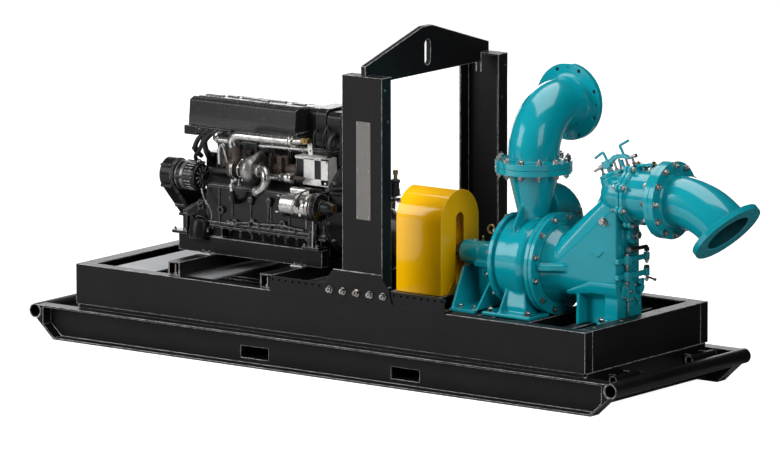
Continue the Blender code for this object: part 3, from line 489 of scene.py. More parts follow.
def bolt_ring(centre, direction, radius, count, first=15.0):
    """Places round a bolt circle; the first angle is in degrees."""
    turn = way_to(direction)
    spots = []
    for index in range(count):
        angle = math.radians(first + 360 * index / count)
        spot = Vector((radius * math.cos(angle), radius * math.sin(angle), 0))
        spots.append(Vector(centre) + turn @ spot)
    return spots


def bolts(name, spots, direction, material, size=0.034, **kind):
    bm = bmesh.new()
    for index, spot in enumerate(spots):
        add_bolt(bm, spot, direction, size, turn=0.7 * index, **kind)
    return piece(name, bm, material, bevel=0, slot=None)


# %% The gap that touching pieces keep
GAP = 0.0003

# %% [markdown]
# ## Shared effects: paint and bare metal
# Two node groups carry what most finishes have in common. The first is sprayed paint: a
# colour that drifts a little, fine grain in the film, and lighter edges, partly wear where
# the film thins and partly a painted highlight of light on rounded edges. It finds edges by
# comparing a bevelled normal with the true one. The second is bare metal: fine brushed
# streaks, dull patches and stained blotches.

# %% Node helpers
def new_group(name, inputs, outputs):
    group = bpy.data.node_groups.new(name, "ShaderNodeTree")
    for label, kind, value in inputs:
        socket = group.interface.new_socket(name=label, in_out="INPUT", socket_type=kind)
        if value is not None:
            socket.default_value = value
    for label, kind in outputs:
        group.interface.new_socket(name=label, in_out="OUTPUT", socket_type=kind)
    ins, outs = group.nodes.new("NodeGroupInput"), group.nodes.new("NodeGroupOutput")
    return group, ins.outputs, outs.inputs


def maths(tree, operation, first, second=0.0, clamp=False):
    return node(tree, "ShaderNodeMath", {0: first, 1: second}, operation=operation,
                use_clamp=clamp).outputs[0]


def blend_colour(tree, factor, first, second, kind="MIX"):
    return node(tree, "ShaderNodeMix", {0: factor, 6: first, 7: second}, data_type="RGBA",
                blend_type=kind).outputs[2]


def noise(tree, vector, scale, detail, rough):
    return node(tree, "ShaderNodeTexNoise", {"Vector": vector, "Scale": scale,
                "Detail": detail, "Roughness": rough}).outputs["Fac"]


def spread(tree, value, low, high, to_low=0.0, to_high=1.0):
    return node(tree, "ShaderNodeMapRange", {"Value": value, "From Min": low, "From Max": high,
                "To Min": to_low, "To Max": to_high}).outputs[0]


# %% Group: sprayed paint
NUMBER, COLOUR, VECTOR = "NodeSocketFloat", "NodeSocketColor", "NodeSocketVector"
SPRAYED_PAINT, ins, outs = new_group(
    "sprayed_paint",
    [("Vector", VECTOR, None), ("Colour", COLOUR, (0.5, 0.5, 0.5, 1)),
     ("Second Colour", COLOUR, (0.4, 0.4, 0.4, 1)), ("Edge Colour", COLOUR, (1, 1, 1, 1)),
     ("Edge Width", NUMBER, 0.004), ("Edge Amount", NUMBER, 0.5), ("Grain Scale", NUMBER, 400),
     ("Roughness", NUMBER, 0.3), ("Roughness Drift", NUMBER, 0.08)],
    [("Colour", COLOUR), ("Roughness", NUMBER), ("Height", NUMBER), ("Normal", VECTOR)])
group, vector = SPRAYED_PAINT, ins["Vector"]
drift = spread(group, noise(group, vector, 2.2, 4.0, 0.6), 0.35, 0.65)
mottle = noise(group, vector, 34.0, 4.0, 0.6)
grain = noise(group, vector, ins["Grain Scale"], 2.0, 0.55)
rounded = node(group, "ShaderNodeBevel", {"Radius": ins["Edge Width"]}, samples=4).outputs[0]
true = node(group, "ShaderNodeNewGeometry").outputs["Normal"]
facing = node(group, "ShaderNodeVectorMath", {0: rounded, 1: true},
              operation="DOT_PRODUCT").outputs["Value"]
# Lighter edges: partly wear of the film, partly a painted highlight where light catches a rounded
# edge.
worn_edge_and_sheen = maths(group, "MULTIPLY", spread(group, facing, 0.997, 0.93),
             spread(group, mottle, 0.40, 0.56, 0.35, 1.0))
worn_edge_and_sheen = maths(group, "MULTIPLY", worn_edge_and_sheen, ins["Edge Amount"], clamp=True)
base = blend_colour(group, drift, ins["Colour"], ins["Second Colour"])
shift = maths(group, "MULTIPLY", maths(group, "SUBTRACT", mottle, 0.5), ins["Roughness Drift"])
rough = maths(group, "ADD", ins["Roughness"], shift, clamp=True)
for label, result in (("Colour", blend_colour(group, worn_edge_and_sheen, base, ins["Edge Colour"])),
                      ("Roughness", rough), ("Height", grain), ("Normal", rounded)):
    group.links.new(result, outs[label])

# %% Group: bare metal
BARE_METAL, ins, outs = new_group(
    "bare_metal",
    [("Vector", VECTOR, None), ("Colour", COLOUR, (0.6, 0.6, 0.6, 1)),
     ("Stain", COLOUR, (0.2, 0.15, 0.1, 1)), ("Stain Amount", NUMBER, 0.3),
     ("Streak", VECTOR, (1, 1, 1)), ("Streak Scale", NUMBER, 300), ("Roughness", NUMBER, 0.3),
     ("Roughness Drift", NUMBER, 0.15)],
    [("Colour", COLOUR), ("Roughness", NUMBER), ("Height", NUMBER)])
group, vector = BARE_METAL, ins["Vector"]
stretched = node(group, "ShaderNodeVectorMath", {0: vector, 1: ins["Streak"]},
                 operation="MULTIPLY").outputs[0]
streaks = noise(group, stretched, ins["Streak Scale"], 3.0, 0.6)
blotch = noise(group, vector, 24.0, 5.0, 0.65)
stain = maths(group, "MULTIPLY", spread(group, blotch, 0.46, 0.62), ins["Stain Amount"],
              clamp=True)
stained = blend_colour(group, stain, ins["Colour"], ins["Stain"])
lively = blend_colour(group, spread(group, streaks, 0.3, 0.7, 0.0, 0.35), stained,
                      (0.12, 0.12, 0.12, 1), "MULTIPLY")
shift = maths(group, "MULTIPLY", maths(group, "SUBTRACT", streaks, 0.5), ins["Roughness Drift"])
rough = maths(group, "ADD", maths(group, "ADD", ins["Roughness"], shift),
              maths(group, "MULTIPLY", stain, 0.25), clamp=True)
for label, result in (("Colour", lively), ("Roughness", rough), ("Height", streaks)):
    group.links.new(result, outs[label])

# %% [markdown]
# ## The finishes
# Teal gloss enamel on the pump, yellow on the coupling guard, black with a fine texture on
# the frames, smoother black on the engine, stainless fasteners, silver engine pipes, and
# the brown of hot cast iron. Numbers that are the same all over a surface sit on the
# shader itself.

# %% Material makers
def finish(name, group, values, strength, depth, **settings):
    """Material that places a shared effect with its own values, and bumps with its height."""
    material = bpy.data.materials.new(name)
    material.use_nodes = True
    tree = material.node_tree
    shader = tree.nodes["Principled BSDF"]
    where = node(tree, "ShaderNodeTexCoord").outputs["Object"]
    effect = node(tree, "ShaderNodeGroup", {"Vector": where, **values}, node_tree=group).outputs
    film = {"Strength": strength, "Distance": depth, "Height": effect["Height"]}
    if "Normal" in effect:
        film["Normal"] = effect["Normal"]
    bumped = node(tree, "ShaderNodeBump", film).outputs[0]
    for label, result in (("Base Color", effect["Colour"]), ("Roughness", effect["Roughness"]),
                          ("Normal", bumped)):
        tree.links.new(result, shader.inputs[label])
    for label, value in settings.items():
        shader.inputs[label.replace("_", " ")].default_value = value
    return material


def paint(name, colour, second, edge, roughness, drift=0.08, edge_width=0.004,
          edge_amount=0.5, grain_scale=400.0, grain_depth=0.0001, grain_strength=0.2,
          coat=0.0, coat_roughness=0.1, shine=0.5):
    values = {"Colour": (*colour, 1), "Second Colour": (*second, 1), "Edge Colour": (*edge, 1),
              "Edge Width": edge_width, "Edge Amount": edge_amount, "Grain Scale": grain_scale,
              "Roughness": roughness, "Roughness Drift": drift}
    return finish(name, SPRAYED_PAINT, values, grain_strength, grain_depth, Coat_Weight=coat,
                  Coat_Roughness=coat_roughness, Specular_IOR_Level=shine)


def metal(name, colour, stain, stain_amount, roughness, streak=(1, 1, 1), streak_scale=300.0,
          depth=0.0001, strength=0.15, drift=0.15, metallic=1.0):
    values = {"Colour": (*colour, 1), "Stain": (*stain, 1), "Stain Amount": stain_amount,
              "Streak": streak, "Streak Scale": streak_scale, "Roughness": roughness,
              "Roughness Drift": drift}
    return finish(name, BARE_METAL, values, strength, depth, Metallic=metallic)


# %% Paints
# Each paint's edge colour lightens its edges: partly wear, partly a painted highlight of light on
# rounded edges. It is strongest on the frame black.
TEAL = paint("pump_paint", (0.002, 0.305, 0.372), (0.001, 0.262, 0.322), (0.14, 0.58, 0.62),
             roughness=0.17, edge_amount=0.45, grain_scale=140, grain_depth=0.0004,
             grain_strength=0.08, coat=0.7, coat_roughness=0.05)
TEAL_BORE_SHADE = paint("pump_paint_bore_shade", (0.001, 0.055, 0.068), (0.004, 0.035, 0.042),
                  (0.02, 0.12, 0.13), roughness=0.45, drift=0.2, edge_amount=0.1)
YELLOW = paint("guard_paint", (0.97, 0.52, 0.001), (0.94, 0.48, 0.001), (1.0, 0.78, 0.12),
               roughness=0.12, drift=0.05, grain_scale=200, grain_depth=0.0002,
               grain_strength=0.05, coat=0.5, coat_roughness=0.06)
BLACK, SOFT_BLACK = (0.0048, 0.0048, 0.0055), (0.0072, 0.0072, 0.0080)
TEXTURED = dict(roughness=0.40, drift=0.12, grain_scale=110, grain_depth=0.0022,
                grain_strength=0.65, shine=0.29)
FRAME_BLACK = paint("frame_paint", BLACK, SOFT_BLACK, (0.80, 0.80, 0.80), edge_width=0.006,
                    edge_amount=0.95, **TEXTURED)
STRIP_BLACK = paint("strip_paint", BLACK, SOFT_BLACK, (0.40, 0.40, 0.40), edge_width=0.003,
                    edge_amount=0.15, **TEXTURED)
SATIN = dict(drift=0.16, edge_width=0.005, edge_amount=0.80, grain_scale=220,
             grain_depth=0.0008, grain_strength=0.22)
ENGINE_BLACK = paint("engine_paint", (0.0055, 0.0055, 0.0062), (0.010, 0.010, 0.011),
                     (0.50, 0.50, 0.51), roughness=0.24, shine=0.33, **SATIN)
COVER_BLACK = paint("cover_paint", (0.010, 0.010, 0.011), (0.016, 0.016, 0.017),
                    (0.50, 0.50, 0.51), roughness=0.26, shine=0.80, **SATIN)
# Black rubber for hoses, seals and grips, also used as painted shade inside the strip holes.
BLACK_RUBBER_AND_SHADE = paint("black_rubber_and_shade", (0.008, 0.008, 0.008), (0.013, 0.013, 0.013),
               (0.03, 0.03, 0.03), roughness=0.45, drift=0.15, edge_amount=0.2, grain_scale=300)
GREY_PLATE = paint("grey_plate", (0.36, 0.365, 0.38), (0.27, 0.275, 0.29), (0.60, 0.60, 0.60),
                   roughness=0.55, drift=0.25, edge_amount=0.4, grain_scale=260)

# %% Metals
STAINLESS = metal("stainless_bolts", (0.76, 0.73, 0.70), (0.20, 0.11, 0.08), 0.55, 0.24,
                  streak_scale=500)
BRUSHED = metal("bare_plate", (0.33, 0.315, 0.30), (0.42, 0.39, 0.36), 0.3, 0.36,
                streak=(1, 1, 0.03), streak_scale=900, strength=0.3)
SHIELD_STEEL = metal("shield_steel", (0.80, 0.79, 0.77), (0.42, 0.38, 0.34), 0.30, 0.34,
                     streak_scale=420, depth=0.0002, strength=0.2, metallic=0.35)
SILVER = metal("bare_steel", (0.88, 0.87, 0.85), (0.30, 0.25, 0.20), 0.45, 0.22,
               streak_scale=180, depth=0.0002, strength=0.2)
CAST_SILVER = metal("cast_alloy", (0.62, 0.61, 0.59), (0.25, 0.20, 0.16), 0.55, 0.38,
                    streak_scale=260, depth=0.0006, strength=0.35)
HOT_IRON = metal("cast_iron", (0.118, 0.094, 0.080), (0.056, 0.041, 0.033), 0.7, 0.52,
                 streak_scale=220, depth=0.0008, strength=0.5, drift=0.3, metallic=0.55)
BRASS = metal("brass", (0.58, 0.40, 0.16), (0.20, 0.12, 0.05), 0.5, 0.30, streak_scale=260)

# %% Which finish goes with which slot of the record
SLOT_FINISH = {"pump_paint": TEAL, "guard_paint": YELLOW, "bare_steel": SILVER,
               "cast_alloy": CAST_SILVER, "cast_iron": HOT_IRON, "grey_plate": GREY_PLATE,
               "engine_paint": ENGINE_BLACK, "frame_paint": FRAME_BLACK}
SLOTS = {made.name: slot for slot, made in SLOT_FINISH.items()}
SLOTS.update({COVER_BLACK.name: "engine_paint", STRIP_BLACK.name: "frame_paint",
              SHIELD_STEEL.name: "bare_steel", BRUSHED.name: "bare_steel"})
print("materials:", len(bpy.data.materials))

# %% [markdown]
# ## Steelwork that stays as packed
# The skid, the base frame, the posts and the engine rails have the right shapes already.
# Their meshes are loose triangles, so a Weld comes first, then a small bevel with
# weighted normals, all as modifiers. The mesh itself isn't touched.

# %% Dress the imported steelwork
WELD_DISTANCE = 0.00005
STEEL_BEVEL = 0.0025
PLATE_BEVEL = 0.0015
SOFT_EDGED = ("post_foot_plate_near", "post_foot_plate_far", "fork_pocket_engine_side",
              "fork_pocket_pump_side")
STEELWORK = SOFT_EDGED + (
    "skid_rail_near", "skid_rail_far", "base_side_near", "base_side_far", "base_end_engine",
    "base_end_pump", "base_floor", "pump_bed", "cross_tube_front", "cross_tube_rear",
    "engine_rail_near", "engine_rail_far", "post_near", "post_far", "lift_strip_near",
    "lift_strip_far", "lifting_plate", "tow_pipe_engine_end", "tow_pipe_pump_end")
GREY_PLATES = ("cross_plate_front", "cross_plate_middle", "cross_plate_rear")

for part in frame["record"]["subparts"]:
    name = part["node"]
    item = frame["nodes"][name]
    material = STRIP_BLACK if name in SOFT_EDGED else SLOT_FINISH[part["material_slot"]]
    if not item.data.materials:
        item.data.materials.append(material)
    for index in range(len(item.material_slots)):
        item.material_slots[index].material = material
    if name in STEELWORK + GREY_PLATES:
        item.modifiers.new("weld", "WELD").merge_threshold = WELD_DISTANCE
        soften(item, PLATE_BEVEL if name in GREY_PLATES else STEEL_BEVEL)
print("dressed:", len(STEELWORK), "and grey plates:", len(GREY_PLATES))

# %% [markdown]
# ## Small parts of the steelwork
# A lifting frame is read by its hardware: five bolts through each foot plate, a row of
# small holes along the strip, a bare metal plate on the post. The strips are made again
# with their holes; the plate on the near post is plain metal.

# %% Lifting strips with their row of holes
STRIP_OUTER = 0.6693
STRIP_INNER = 0.584
POST_FACE = 0.661
HOLE_Z = 0.573
HOLE_STEP = 0.0525
HOLE_PLACES = [start + HOLE_STEP * step for start in (0.5725, -0.378) for step in range(8)]

for label, side in (("near", -1), ("far", 1)):
    section = [(STRIP_OUTER, 0.49), (STRIP_OUTER, 0.595), (POST_FACE + GAP, 0.595),
               (POST_FACE + GAP, 0.5123), (STRIP_INNER, 0.5123), (STRIP_INNER, 0.5003),
               (0.6593, 0.5003), (0.6593, 0.49)]
    bm = bmesh.new()
    add_plate(bm, [(side * y, z) for y, z in section], "YZ", -0.4, 0.96)
    cut = bmesh.new()
    for x in HOLE_PLACES:
        add_bar(cut, (x, side * 0.64, HOLE_Z), (x, side * 0.69, HOLE_Z), 0.0082, 16)
    bm = boolean(bm, cut)
    # Hole walls take the second slot, black, a painted shade inside the holes.
    for face in bm.faces:
        face.normal_update()
        if abs(face.normal.y) < 0.1 and abs(face.calc_center_median().z - HOLE_Z) < 0.0090:
            face.material_index = int(face.calc_area() < 0.0001)
    strip = piece("lift_strip_plate_" + label, bm, STRIP_BLACK, "lift_strip_" + label,
                  bevel=0.001)
    strip.data.materials.append(BLACK_RUBBER_AND_SHADE)

# %% Black cups behind the holes, painted shade inside them
bm = bmesh.new()
for side in (-1, 1):
    for x in HOLE_PLACES:
        cup = [(0, 0.024), (0.0084, 0.024), (0.0084, 0), (0.0115, 0), (0.0115, 0.027),
               (0, 0.027)]
        add_turned(bm, cup, (x, side * (POST_FACE - 0.0001), HOLE_Z), (0, -side, 0), 18)
piece("strip_hole_shade_cups", bm, BLACK_RUBBER_AND_SHADE, bevel=0)

# %% Foot plate bolts, post hardware, bare plate
foot_bolts = [(0.082 + 0.104 * step, side * 0.6805, 0.561) for step in range(5)
              for side in (-1, 1)]
bolts("foot_plate_bolts", [s for s in foot_bolts if s[1] < 0], NEARWARDS, STAINLESS, 0.036)
bolts("foot_plate_bolts_far", [s for s in foot_bolts if s[1] > 0], (0, 1, 0), STAINLESS, 0.036)

bm = bmesh.new()
PLATE_FACE = -POST_FACE - 0.003
plate = arc((0.382, 1.634), 0.006, 0, 90, 4) + arc((0.283, 1.634), 0.006, 90, 180, 4)
plate += arc((0.283, 1.03), 0.006, 180, 270, 4) + arc((0.382, 1.03), 0.006, 270, 360, 4)
add_plate(bm, plate, "XZ", PLATE_FACE, -POST_FACE - GAP)
piece("post_bare_plate", bm, BRUSHED, bevel=0.0008)
bm = bmesh.new()
for x in (0.29, 0.375):
    for z in (1.04, 1.33, 1.624):
        add_turned(bm, [(0, 0), (0.007, 0), (0.006, 0.003), (0.002, 0.0045), (0, 0.0045)],
                   (x, PLATE_FACE, z), NEARWARDS, 16)
for side in (-1, 1):
    for x in (0.4745, 0.1655):
        way = 1 if x > 0.3 else -1
        add_ring(bm, 0.0045, 0.01, 0.0025, (x, side * 0.6, 1.645), (way, 0, 0), 18)
        add_ring(bm, 0.004, 0.008, 0.0025, (x, side * 0.632, 1.845), (way, 0, 0), 18)
piece("plate_rivets", bm, STAINLESS, bevel=0)

# %% [markdown]
# The lifting plate is welded between the posts, with its weld beads showing as thin ropes.
# A round doubler sits each side of the slot in the crown.

# %% Weld beads at the plate, posts and feet
bm = bmesh.new()
for side in (-1, 1):
    for x in (0.3022, 0.3378):
        add_tube(bm, [(x, side * 0.563, 1.8), (x, side * 0.563, 1.86),
                 (x, side * 0.563, 1.918)], 0.0045, 8)
    for x in (0.1663, 0.4737):
        add_tube(bm, [(x, side * 0.655, 0.6), (x, side * 0.6, 0.6), (x, side * 0.57, 0.6)],
                 0.004, 8)
    add_tube(bm, [(0.1, side * 0.6645, 0.6885), (0.25, side * 0.6645, 0.6885),
             (0.465, side * 0.6645, 0.6885)], 0.0035, 8)
piece("weld_beads", bm, FRAME_BLACK, bevel=0, slot=None)

# %% Restriction gauge behind the near post, with its line
GAUGE = Vector((0.474, -0.52, 1.17))
bm = bmesh.new()
gauge = [(0, 0), (0.022, 0), (0.028, 0.004), (0.028, 0.04), (0.024, 0.05), (0.024, 0.082),
         (0.029, 0.086), (0.029, 0.1), (0.02, 0.106), (0, 0.106)]
add_turned(bm, gauge, GAUGE, UP, 32)
add_box(bm, (0.43, -0.565, 1.15), (0.5, -0.5, 1.158))
add_hose(bm, [(0.44, -0.535, 1.15), (0.436, -0.53, 1.09), (0.432, -0.528, 1.00),
         (0.43, -0.53, 0.86), (0.43, -0.535, 0.7), (0.43, -0.545, 0.615)], 6, 0.01, 12)
piece("gauge_body", bm, BLACK_RUBBER_AND_SHADE, bevel=0.001)
bm = bmesh.new()
add_turned(bm, [(0, 0), (0.012, 0), (0.012, 0.03), (0.016, 0.032), (0.016, 0.06), (0, 0.06)],
           GAUGE + Vector((0, 0, 0.104)), UP, 24)
piece("gauge_neck", bm, BRASS, bevel=0.0008)
bm = bmesh.new()
add_hose(bm, [(0.505, -0.505, 1.178), (0.478, -0.512, 1.168), (0.448, -0.52, 1.158),
         (0.424, -0.528, 1.15)], 5, 0.004, 8)
add_hose(bm, [(0.49, -0.505, 1.14), (0.462, -0.512, 1.135), (0.446, -0.52, 1.12),
         (0.44, -0.524, 1.08), (0.43, -0.522, 1.0), (0.428, -0.52, 0.88), (0.43, -0.522, 0.78)],
         6, 0.0035, 8)
add_bar(bm, (0.478, -0.512, 1.135), (0.5, -0.5, 1.142), 0.011, 14)
piece("gauge_line", bm, STAINLESS, bevel=0)

# %% [markdown]
# ## Inside the base frame
# Seen from above, the base is open between its beams, with dark cavities down to the floor
# plate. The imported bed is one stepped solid; here it becomes cross beams at the same
# heights, and side rails, so that the pump stands on something that can be built.

# %% Beams of the pump bed
BED_HALF = 0.575
BED_FLOOR = 0.2418
BED_BEAMS = ((0.22, 0.3, BED_FLOOR, 0.4997), (0.299, 0.546, 0.4877, 0.4997),
             (0.545, 0.605, BED_FLOOR, 0.4997), (0.7, 0.975, BED_FLOOR, 0.4447),
             (0.985, 1.09, BED_FLOOR, 0.4447), (1.25, 1.37, BED_FLOOR, 0.4447),
             (1.575, 1.655, BED_FLOOR, 0.4297), (1.725, 1.9, BED_FLOOR, 0.4297))
bm = bmesh.new()
for start, end, floor, top in BED_BEAMS:
    add_box(bm, (start, -BED_HALF, floor), (end, BED_HALF, top))
for side in (-1, 1):
    for start, end in ((0.605, 0.7), (0.975, 0.985), (1.09, 1.25), (1.37, 1.575),
            (1.655, 1.725)):
        add_box(bm, (start - 0.001, side * 0.36, BED_FLOOR), (end + 0.001, side * 0.42, 0.4))
piece("pump_bed_beams", bm, FRAME_BLACK, "pump_bed", bevel=0.003)

# %% Clips on the cross tubes, and the bolts in their ends
TUBE_X = (-1.187, -0.452)
bm = bmesh.new()
for x in TUBE_X:
    for side in (-1, 1):
        add_box(bm, (x - 0.046, side * 0.2705, 0.5936), (x + 0.046, side * 0.33, 0.6016))
piece("rail_clips", bm, SHIELD_STEEL, bevel=0.001)
bolts("rail_clip_bolts", [(x + dx, y, 0.6016) for x in TUBE_X for dx in (-0.025, 0.025)
      for y in (-0.306, 0.306)], UP, STAINLESS, 0.02)
for label, side in (("near", -1), ("far", 1)):
    bolts("tube_end_bolts_" + label, [(x, side * 0.619, 0.5103) for x in TUBE_X], UP, STAINLESS,
          0.026)
bm = bmesh.new()
for x in TUBE_X:
    for side in (-1, 1):
        add_bar(bm, (x, side * 0.619, 0.52), (x, side * 0.619, 0.5735), 0.0065, 20)
piece("tube_end_studs", bm, STAINLESS, bevel=0.0008)

# %% [markdown]
# Below each end of the base the skid is closed by a cross web. Two short pipe stubs hang
# from it on small lugs, between the web and the tow pipe.

# %% Cross webs and tie-down stubs
WEB_X = {-1: 1.9538, 1: 2.0064}
bm = bmesh.new()
for way in (-1, 1):
    web = WEB_X[way]
    add_box(bm, (way * web, -0.634, 0.022), (way * (web + 0.012), 0.634, 0.2412))
    add_box(bm, (way * (web - 0.05), -0.634, 0.022), (way * (web + 0.001), 0.634, 0.032))
piece("skid_cross_webs", bm, FRAME_BLACK, bevel=0.002)
bm = bmesh.new()
for way in (-1, 1):
    for start in (-0.46, 0.355):
        add_ring(bm, 0.022, 0.0285, 0.27, (way * 2.085, start, 0.18), (0, 1, 0), 36)
        for y in (start + 0.06, start + 0.21):
            add_box(bm, (way * (WEB_X[way] + 0.0122), y - 0.005, 0.15),
                    (way * 2.062, y + 0.005, 0.205))
piece("tie_down_stubs", bm, FRAME_BLACK, bevel=0.001)
print("steelwork pieces:", len(PIECES))

# %% [markdown]
# ## Engine block, pan and mounts
# The engine is a tall black casting on a pan. Its near side is a smooth panel with raised
# seams, three bosses and a thin pipe along its foot. The panel is kept plain and the small
# parts are laid on it, since each of them catches its own line of light.

# %% Block with its panel, seams and foot rail
BLOCK_X = (-1.225, -0.265)
PAN_TOP = 0.778

bm = bmesh.new()
outline = [(-0.25, 0.78), (0.25, 0.78), (0.25, 1.045), (0.205, 1.11), (-0.205, 1.11),
           (-0.25, 1.045)]
add_plate(bm, outline, "YZ", BLOCK_X[0], BLOCK_X[1])
for side in (-1, 1):
    for x, z_low, z_high in ((-1.017, 0.845, 0.955), (-0.867, 0.845, 0.955),
            (-0.729, 0.845, 0.958), (-0.707, 0.845, 0.958), (-0.56, 0.8, 1.03),
            (-1.12, 0.8, 1.03)):
        add_box(bm, (x - 0.004, side * 0.254 - 0.004, z_low),
                (x + 0.004, side * 0.254 + 0.002, z_high))
    add_box(bm, (-1.21, side * 0.254 - 0.006, 1.02), (-0.28, side * 0.254 + 0.004, 1.036))
    add_box(bm, (-1.21, side * 0.254 - 0.006, 0.783), (-0.28, side * 0.254 + 0.008, 0.797))
piece("block_body", bm, ENGINE_BLACK, "engine_block", bevel=0.003)

bm = bmesh.new()
for side in (-1, 1):
    for x, z in ((-1.006, 0.969), (-0.859, 0.974), (-0.712, 0.979)):
        add_bar(bm, (x, side * 0.245, z), (x, side * 0.276, z), 0.022, 24, 0.019)
        add_bar(bm, (x, side * 0.27, z), (x, side * 0.284, z), 0.011, 6)
        add_bar(bm, (x, side * 0.262, z - 0.018), (x, side * 0.262, z - 0.04), 0.008, 12)
    for x, z in ((-0.99, 0.807), (-0.607, 0.837), (-1.101, 0.882)):
        add_ring(bm, 0.012, 0.024, 0.02, (x, side * 0.25, z), (0, side, 0), 28)
    rail = [(-1.047, 0.815), (-0.99, 0.8), (-0.965, 0.81), (-0.875, 0.824), (-0.849, 0.842),
            (-0.824, 0.822), (-0.709, 0.826), (-0.607, 0.83), (-0.505, 0.822), (-0.44, 0.818)]
    add_hose(bm, [(x, side * 0.266, z) for x, z in rail], 5, 0.0065, 10)
    for x in (-0.875, -0.804, -0.709, -0.511):
        add_bar(bm, (x, side * 0.264, 0.822), (x, side * 0.264, 0.795), 0.006, 10)
piece("block_rail_and_bosses", bm, ENGINE_BLACK, bevel=0.001)

pan_bolts = [(x, y, 0.7635) for y in (-0.258, 0.258)
             for x in [-1.17 + 0.075 * step for step in range(12)]]
bm = bmesh.new()
add_hull(bm, (add_box, (-1.195, -0.19, 0.76), (-0.285, 0.19, 0.77)),
         (add_box, (-1.165, -0.165, 0.642), (-0.315, 0.165, 0.65)))
add_box(bm, (BLOCK_X[0] + 0.004, -0.266, 0.764), (BLOCK_X[1] - 0.004, 0.266, PAN_TOP))
for x in [-1.1 + 0.09 * step for step in range(9)]:
    for side in (-1, 1):
        add_hull(bm, (add_box, (x - 0.005, side * 0.18 - 0.012, 0.755),
                 (x + 0.005, side * 0.18 + 0.012, 0.765)),
                 (add_box, (x - 0.005, side * 0.16 - 0.012, 0.655),
                 (x + 0.005, side * 0.16 + 0.012, 0.66)))
piece("oil_pan_shell", bm, ENGINE_BLACK, "oil_pan", bevel=0.004)
bolts("pan_bolts", pan_bolts, DOWN, ENGINE_BLACK, 0.013, stud=False)

# %% Mounts on the rails
bm = bmesh.new()
for side in (-1, 1):
    for start, end in ((-0.43, -0.297), (-1.47, -1.35)):
        add_box(bm, (start, side * 0.205, 0.7025), (end, side * 0.3, 0.722))
    add_box(bm, (-1.41, side * 0.23, 0.722), (-1.376, side * 0.262, 0.83))
    add_hull(bm, (add_box, (-1.41, side * 0.2, 0.815), (-1.376, side * 0.26, 0.85)),
             (add_box, (-1.34, side * 0.16, 0.83), (-1.315, side * 0.23, 0.9)))
    add_hull(bm, (add_box, (-0.395, side * 0.215, 0.722), (-0.33, side * 0.285, 0.73)),
             (add_box, (-0.385, side * 0.235, 0.86), (-0.34, side * 0.262, 0.87)))
piece("engine_mounts", bm, ENGINE_BLACK, bevel=0.002)
bm = bmesh.new()
for side in (-1, 1):
    add_bar(bm, (-0.348, side * 0.292, 0.722), (-0.344, side * 0.292, 0.905), 0.0065, 12)
    add_bar(bm, (-0.392, side * 0.3, 0.836), (-0.392, side * 0.3, 0.895), 0.005, 10)
    for z in (0.905, 0.815):
        add_bar(bm, (-0.346, side * 0.292, z), (-0.346, side * 0.292, z + 0.016), 0.013, 6)
piece("mount_rods", bm, STAINLESS, bevel=0.0006)
bolts("mount_bolts", [(x, y, 0.722) for x in (-0.415, -0.312, -1.452, -1.368)
      for y in (-0.288, 0.288)], UP, STAINLESS, 0.022)

# %% [markdown]
# ## Head, flywheel housing and front case
# Behind the pipes sits the cylinder head, dark and ribbed. The flywheel housing at the
# back and the gear case at the front close the block, each with a ring of small bolts.

# %% Head, housings and their bolts
bm = bmesh.new()
add_box(bm, (-1.2, -0.17, 1.111), (-0.3, 0.2, 1.334))
for x in [-1.15 + 0.135 * step for step in range(7)]:
    for side, wall in ((-1, -0.17), (1, 0.2)):
        add_box(bm, (x - 0.01, wall - side * 0.005, 1.118),
                (x + 0.01, wall + side * 0.018, 1.325))
add_box(bm, (-1.205, -0.182, 1.3), (-0.295, 0.212, 1.316))
add_box(bm, (-1.205, -0.182, 1.112), (-0.295, 0.212, 1.124))
piece("head_casting", bm, ENGINE_BLACK, "cylinder_head", bevel=0.003)

bm = bmesh.new()
housing = [(0, 0), (0.305, 0), (0.305, 0.028), (0.292, 0.032), (0.288, 0.06), (0.27, 0.15),
           (0.245, 0.16), (0.12, 0.163), (0.11, 0.155), (0, 0.155)]
add_turned(bm, housing, (BLOCK_X[1] + GAP, 0, 0.955), ALONG, 72)
for step in range(14):
    spot = spoke(360 * (step + 0.5) / 14)
    add_hull(bm, (add_bar, Vector((-0.236, 0, 0.955)) + spot * 0.285,
             Vector((-0.228, 0, 0.955)) + spot * 0.285, 0.01, 8),
             (add_bar, Vector((-0.13, 0, 0.955)) + spot * 0.25,
             Vector((-0.125, 0, 0.955)) + spot * 0.25, 0.008, 8))
piece("flywheel_housing_casting", bm, ENGINE_BLACK, "flywheel_housing", bevel=0.003)
bolts("flywheel_housing_bolts", bolt_ring((-0.237, 0, 0.955), ALONG, 0.293, 14, 0), ALONG,
      ENGINE_BLACK, 0.019)

bm = bmesh.new()
case = [(-0.23, 0.72), (0.23, 0.72), (0.24, 1.04), (0.16, 1.22), (-0.14, 1.22), (-0.14, 0.96),
        (-0.23, 0.92)]
add_plate(bm, case, "YZ", -1.315, -1.2255)
add_bar(bm, (-1.315, 0.06, 1.06), (-1.345, 0.06, 1.06), 0.075, 40, 0.068)
add_bar(bm, (-1.315, -0.01, 0.815), (-1.335, -0.01, 0.815), 0.115, 48, 0.105)
add_ring(bm, 0.012, 0.026, 0.014, (-1.28, -0.231, 0.882), NEARWARDS, 28)
piece("gear_case_casting", bm, ENGINE_BLACK, "gear_case", bevel=0.004)
case_bolts = [(-1.3152, y, z) for y, z in ((-0.215, 0.735), (-0.1, 0.735), (0.1, 0.735),
              (0.215, 0.735), (0.222, 0.88), (0.225, 1.03), (0.145, 1.195), (0.0, 1.205),
              (-0.125, 1.205), (-0.125, 1.08), (-0.215, 0.9))]
bolts("gear_case_bolts", case_bolts, BACKWARDS, ENGINE_BLACK, 0.016, stud=False)

# %% [markdown]
# ## Top cover
# A long moulded cover hides the valve gear and the injectors. Its front face has a
# step near the foot, its top carries pads between shallow grooves, and clips stand along
# its ridge.

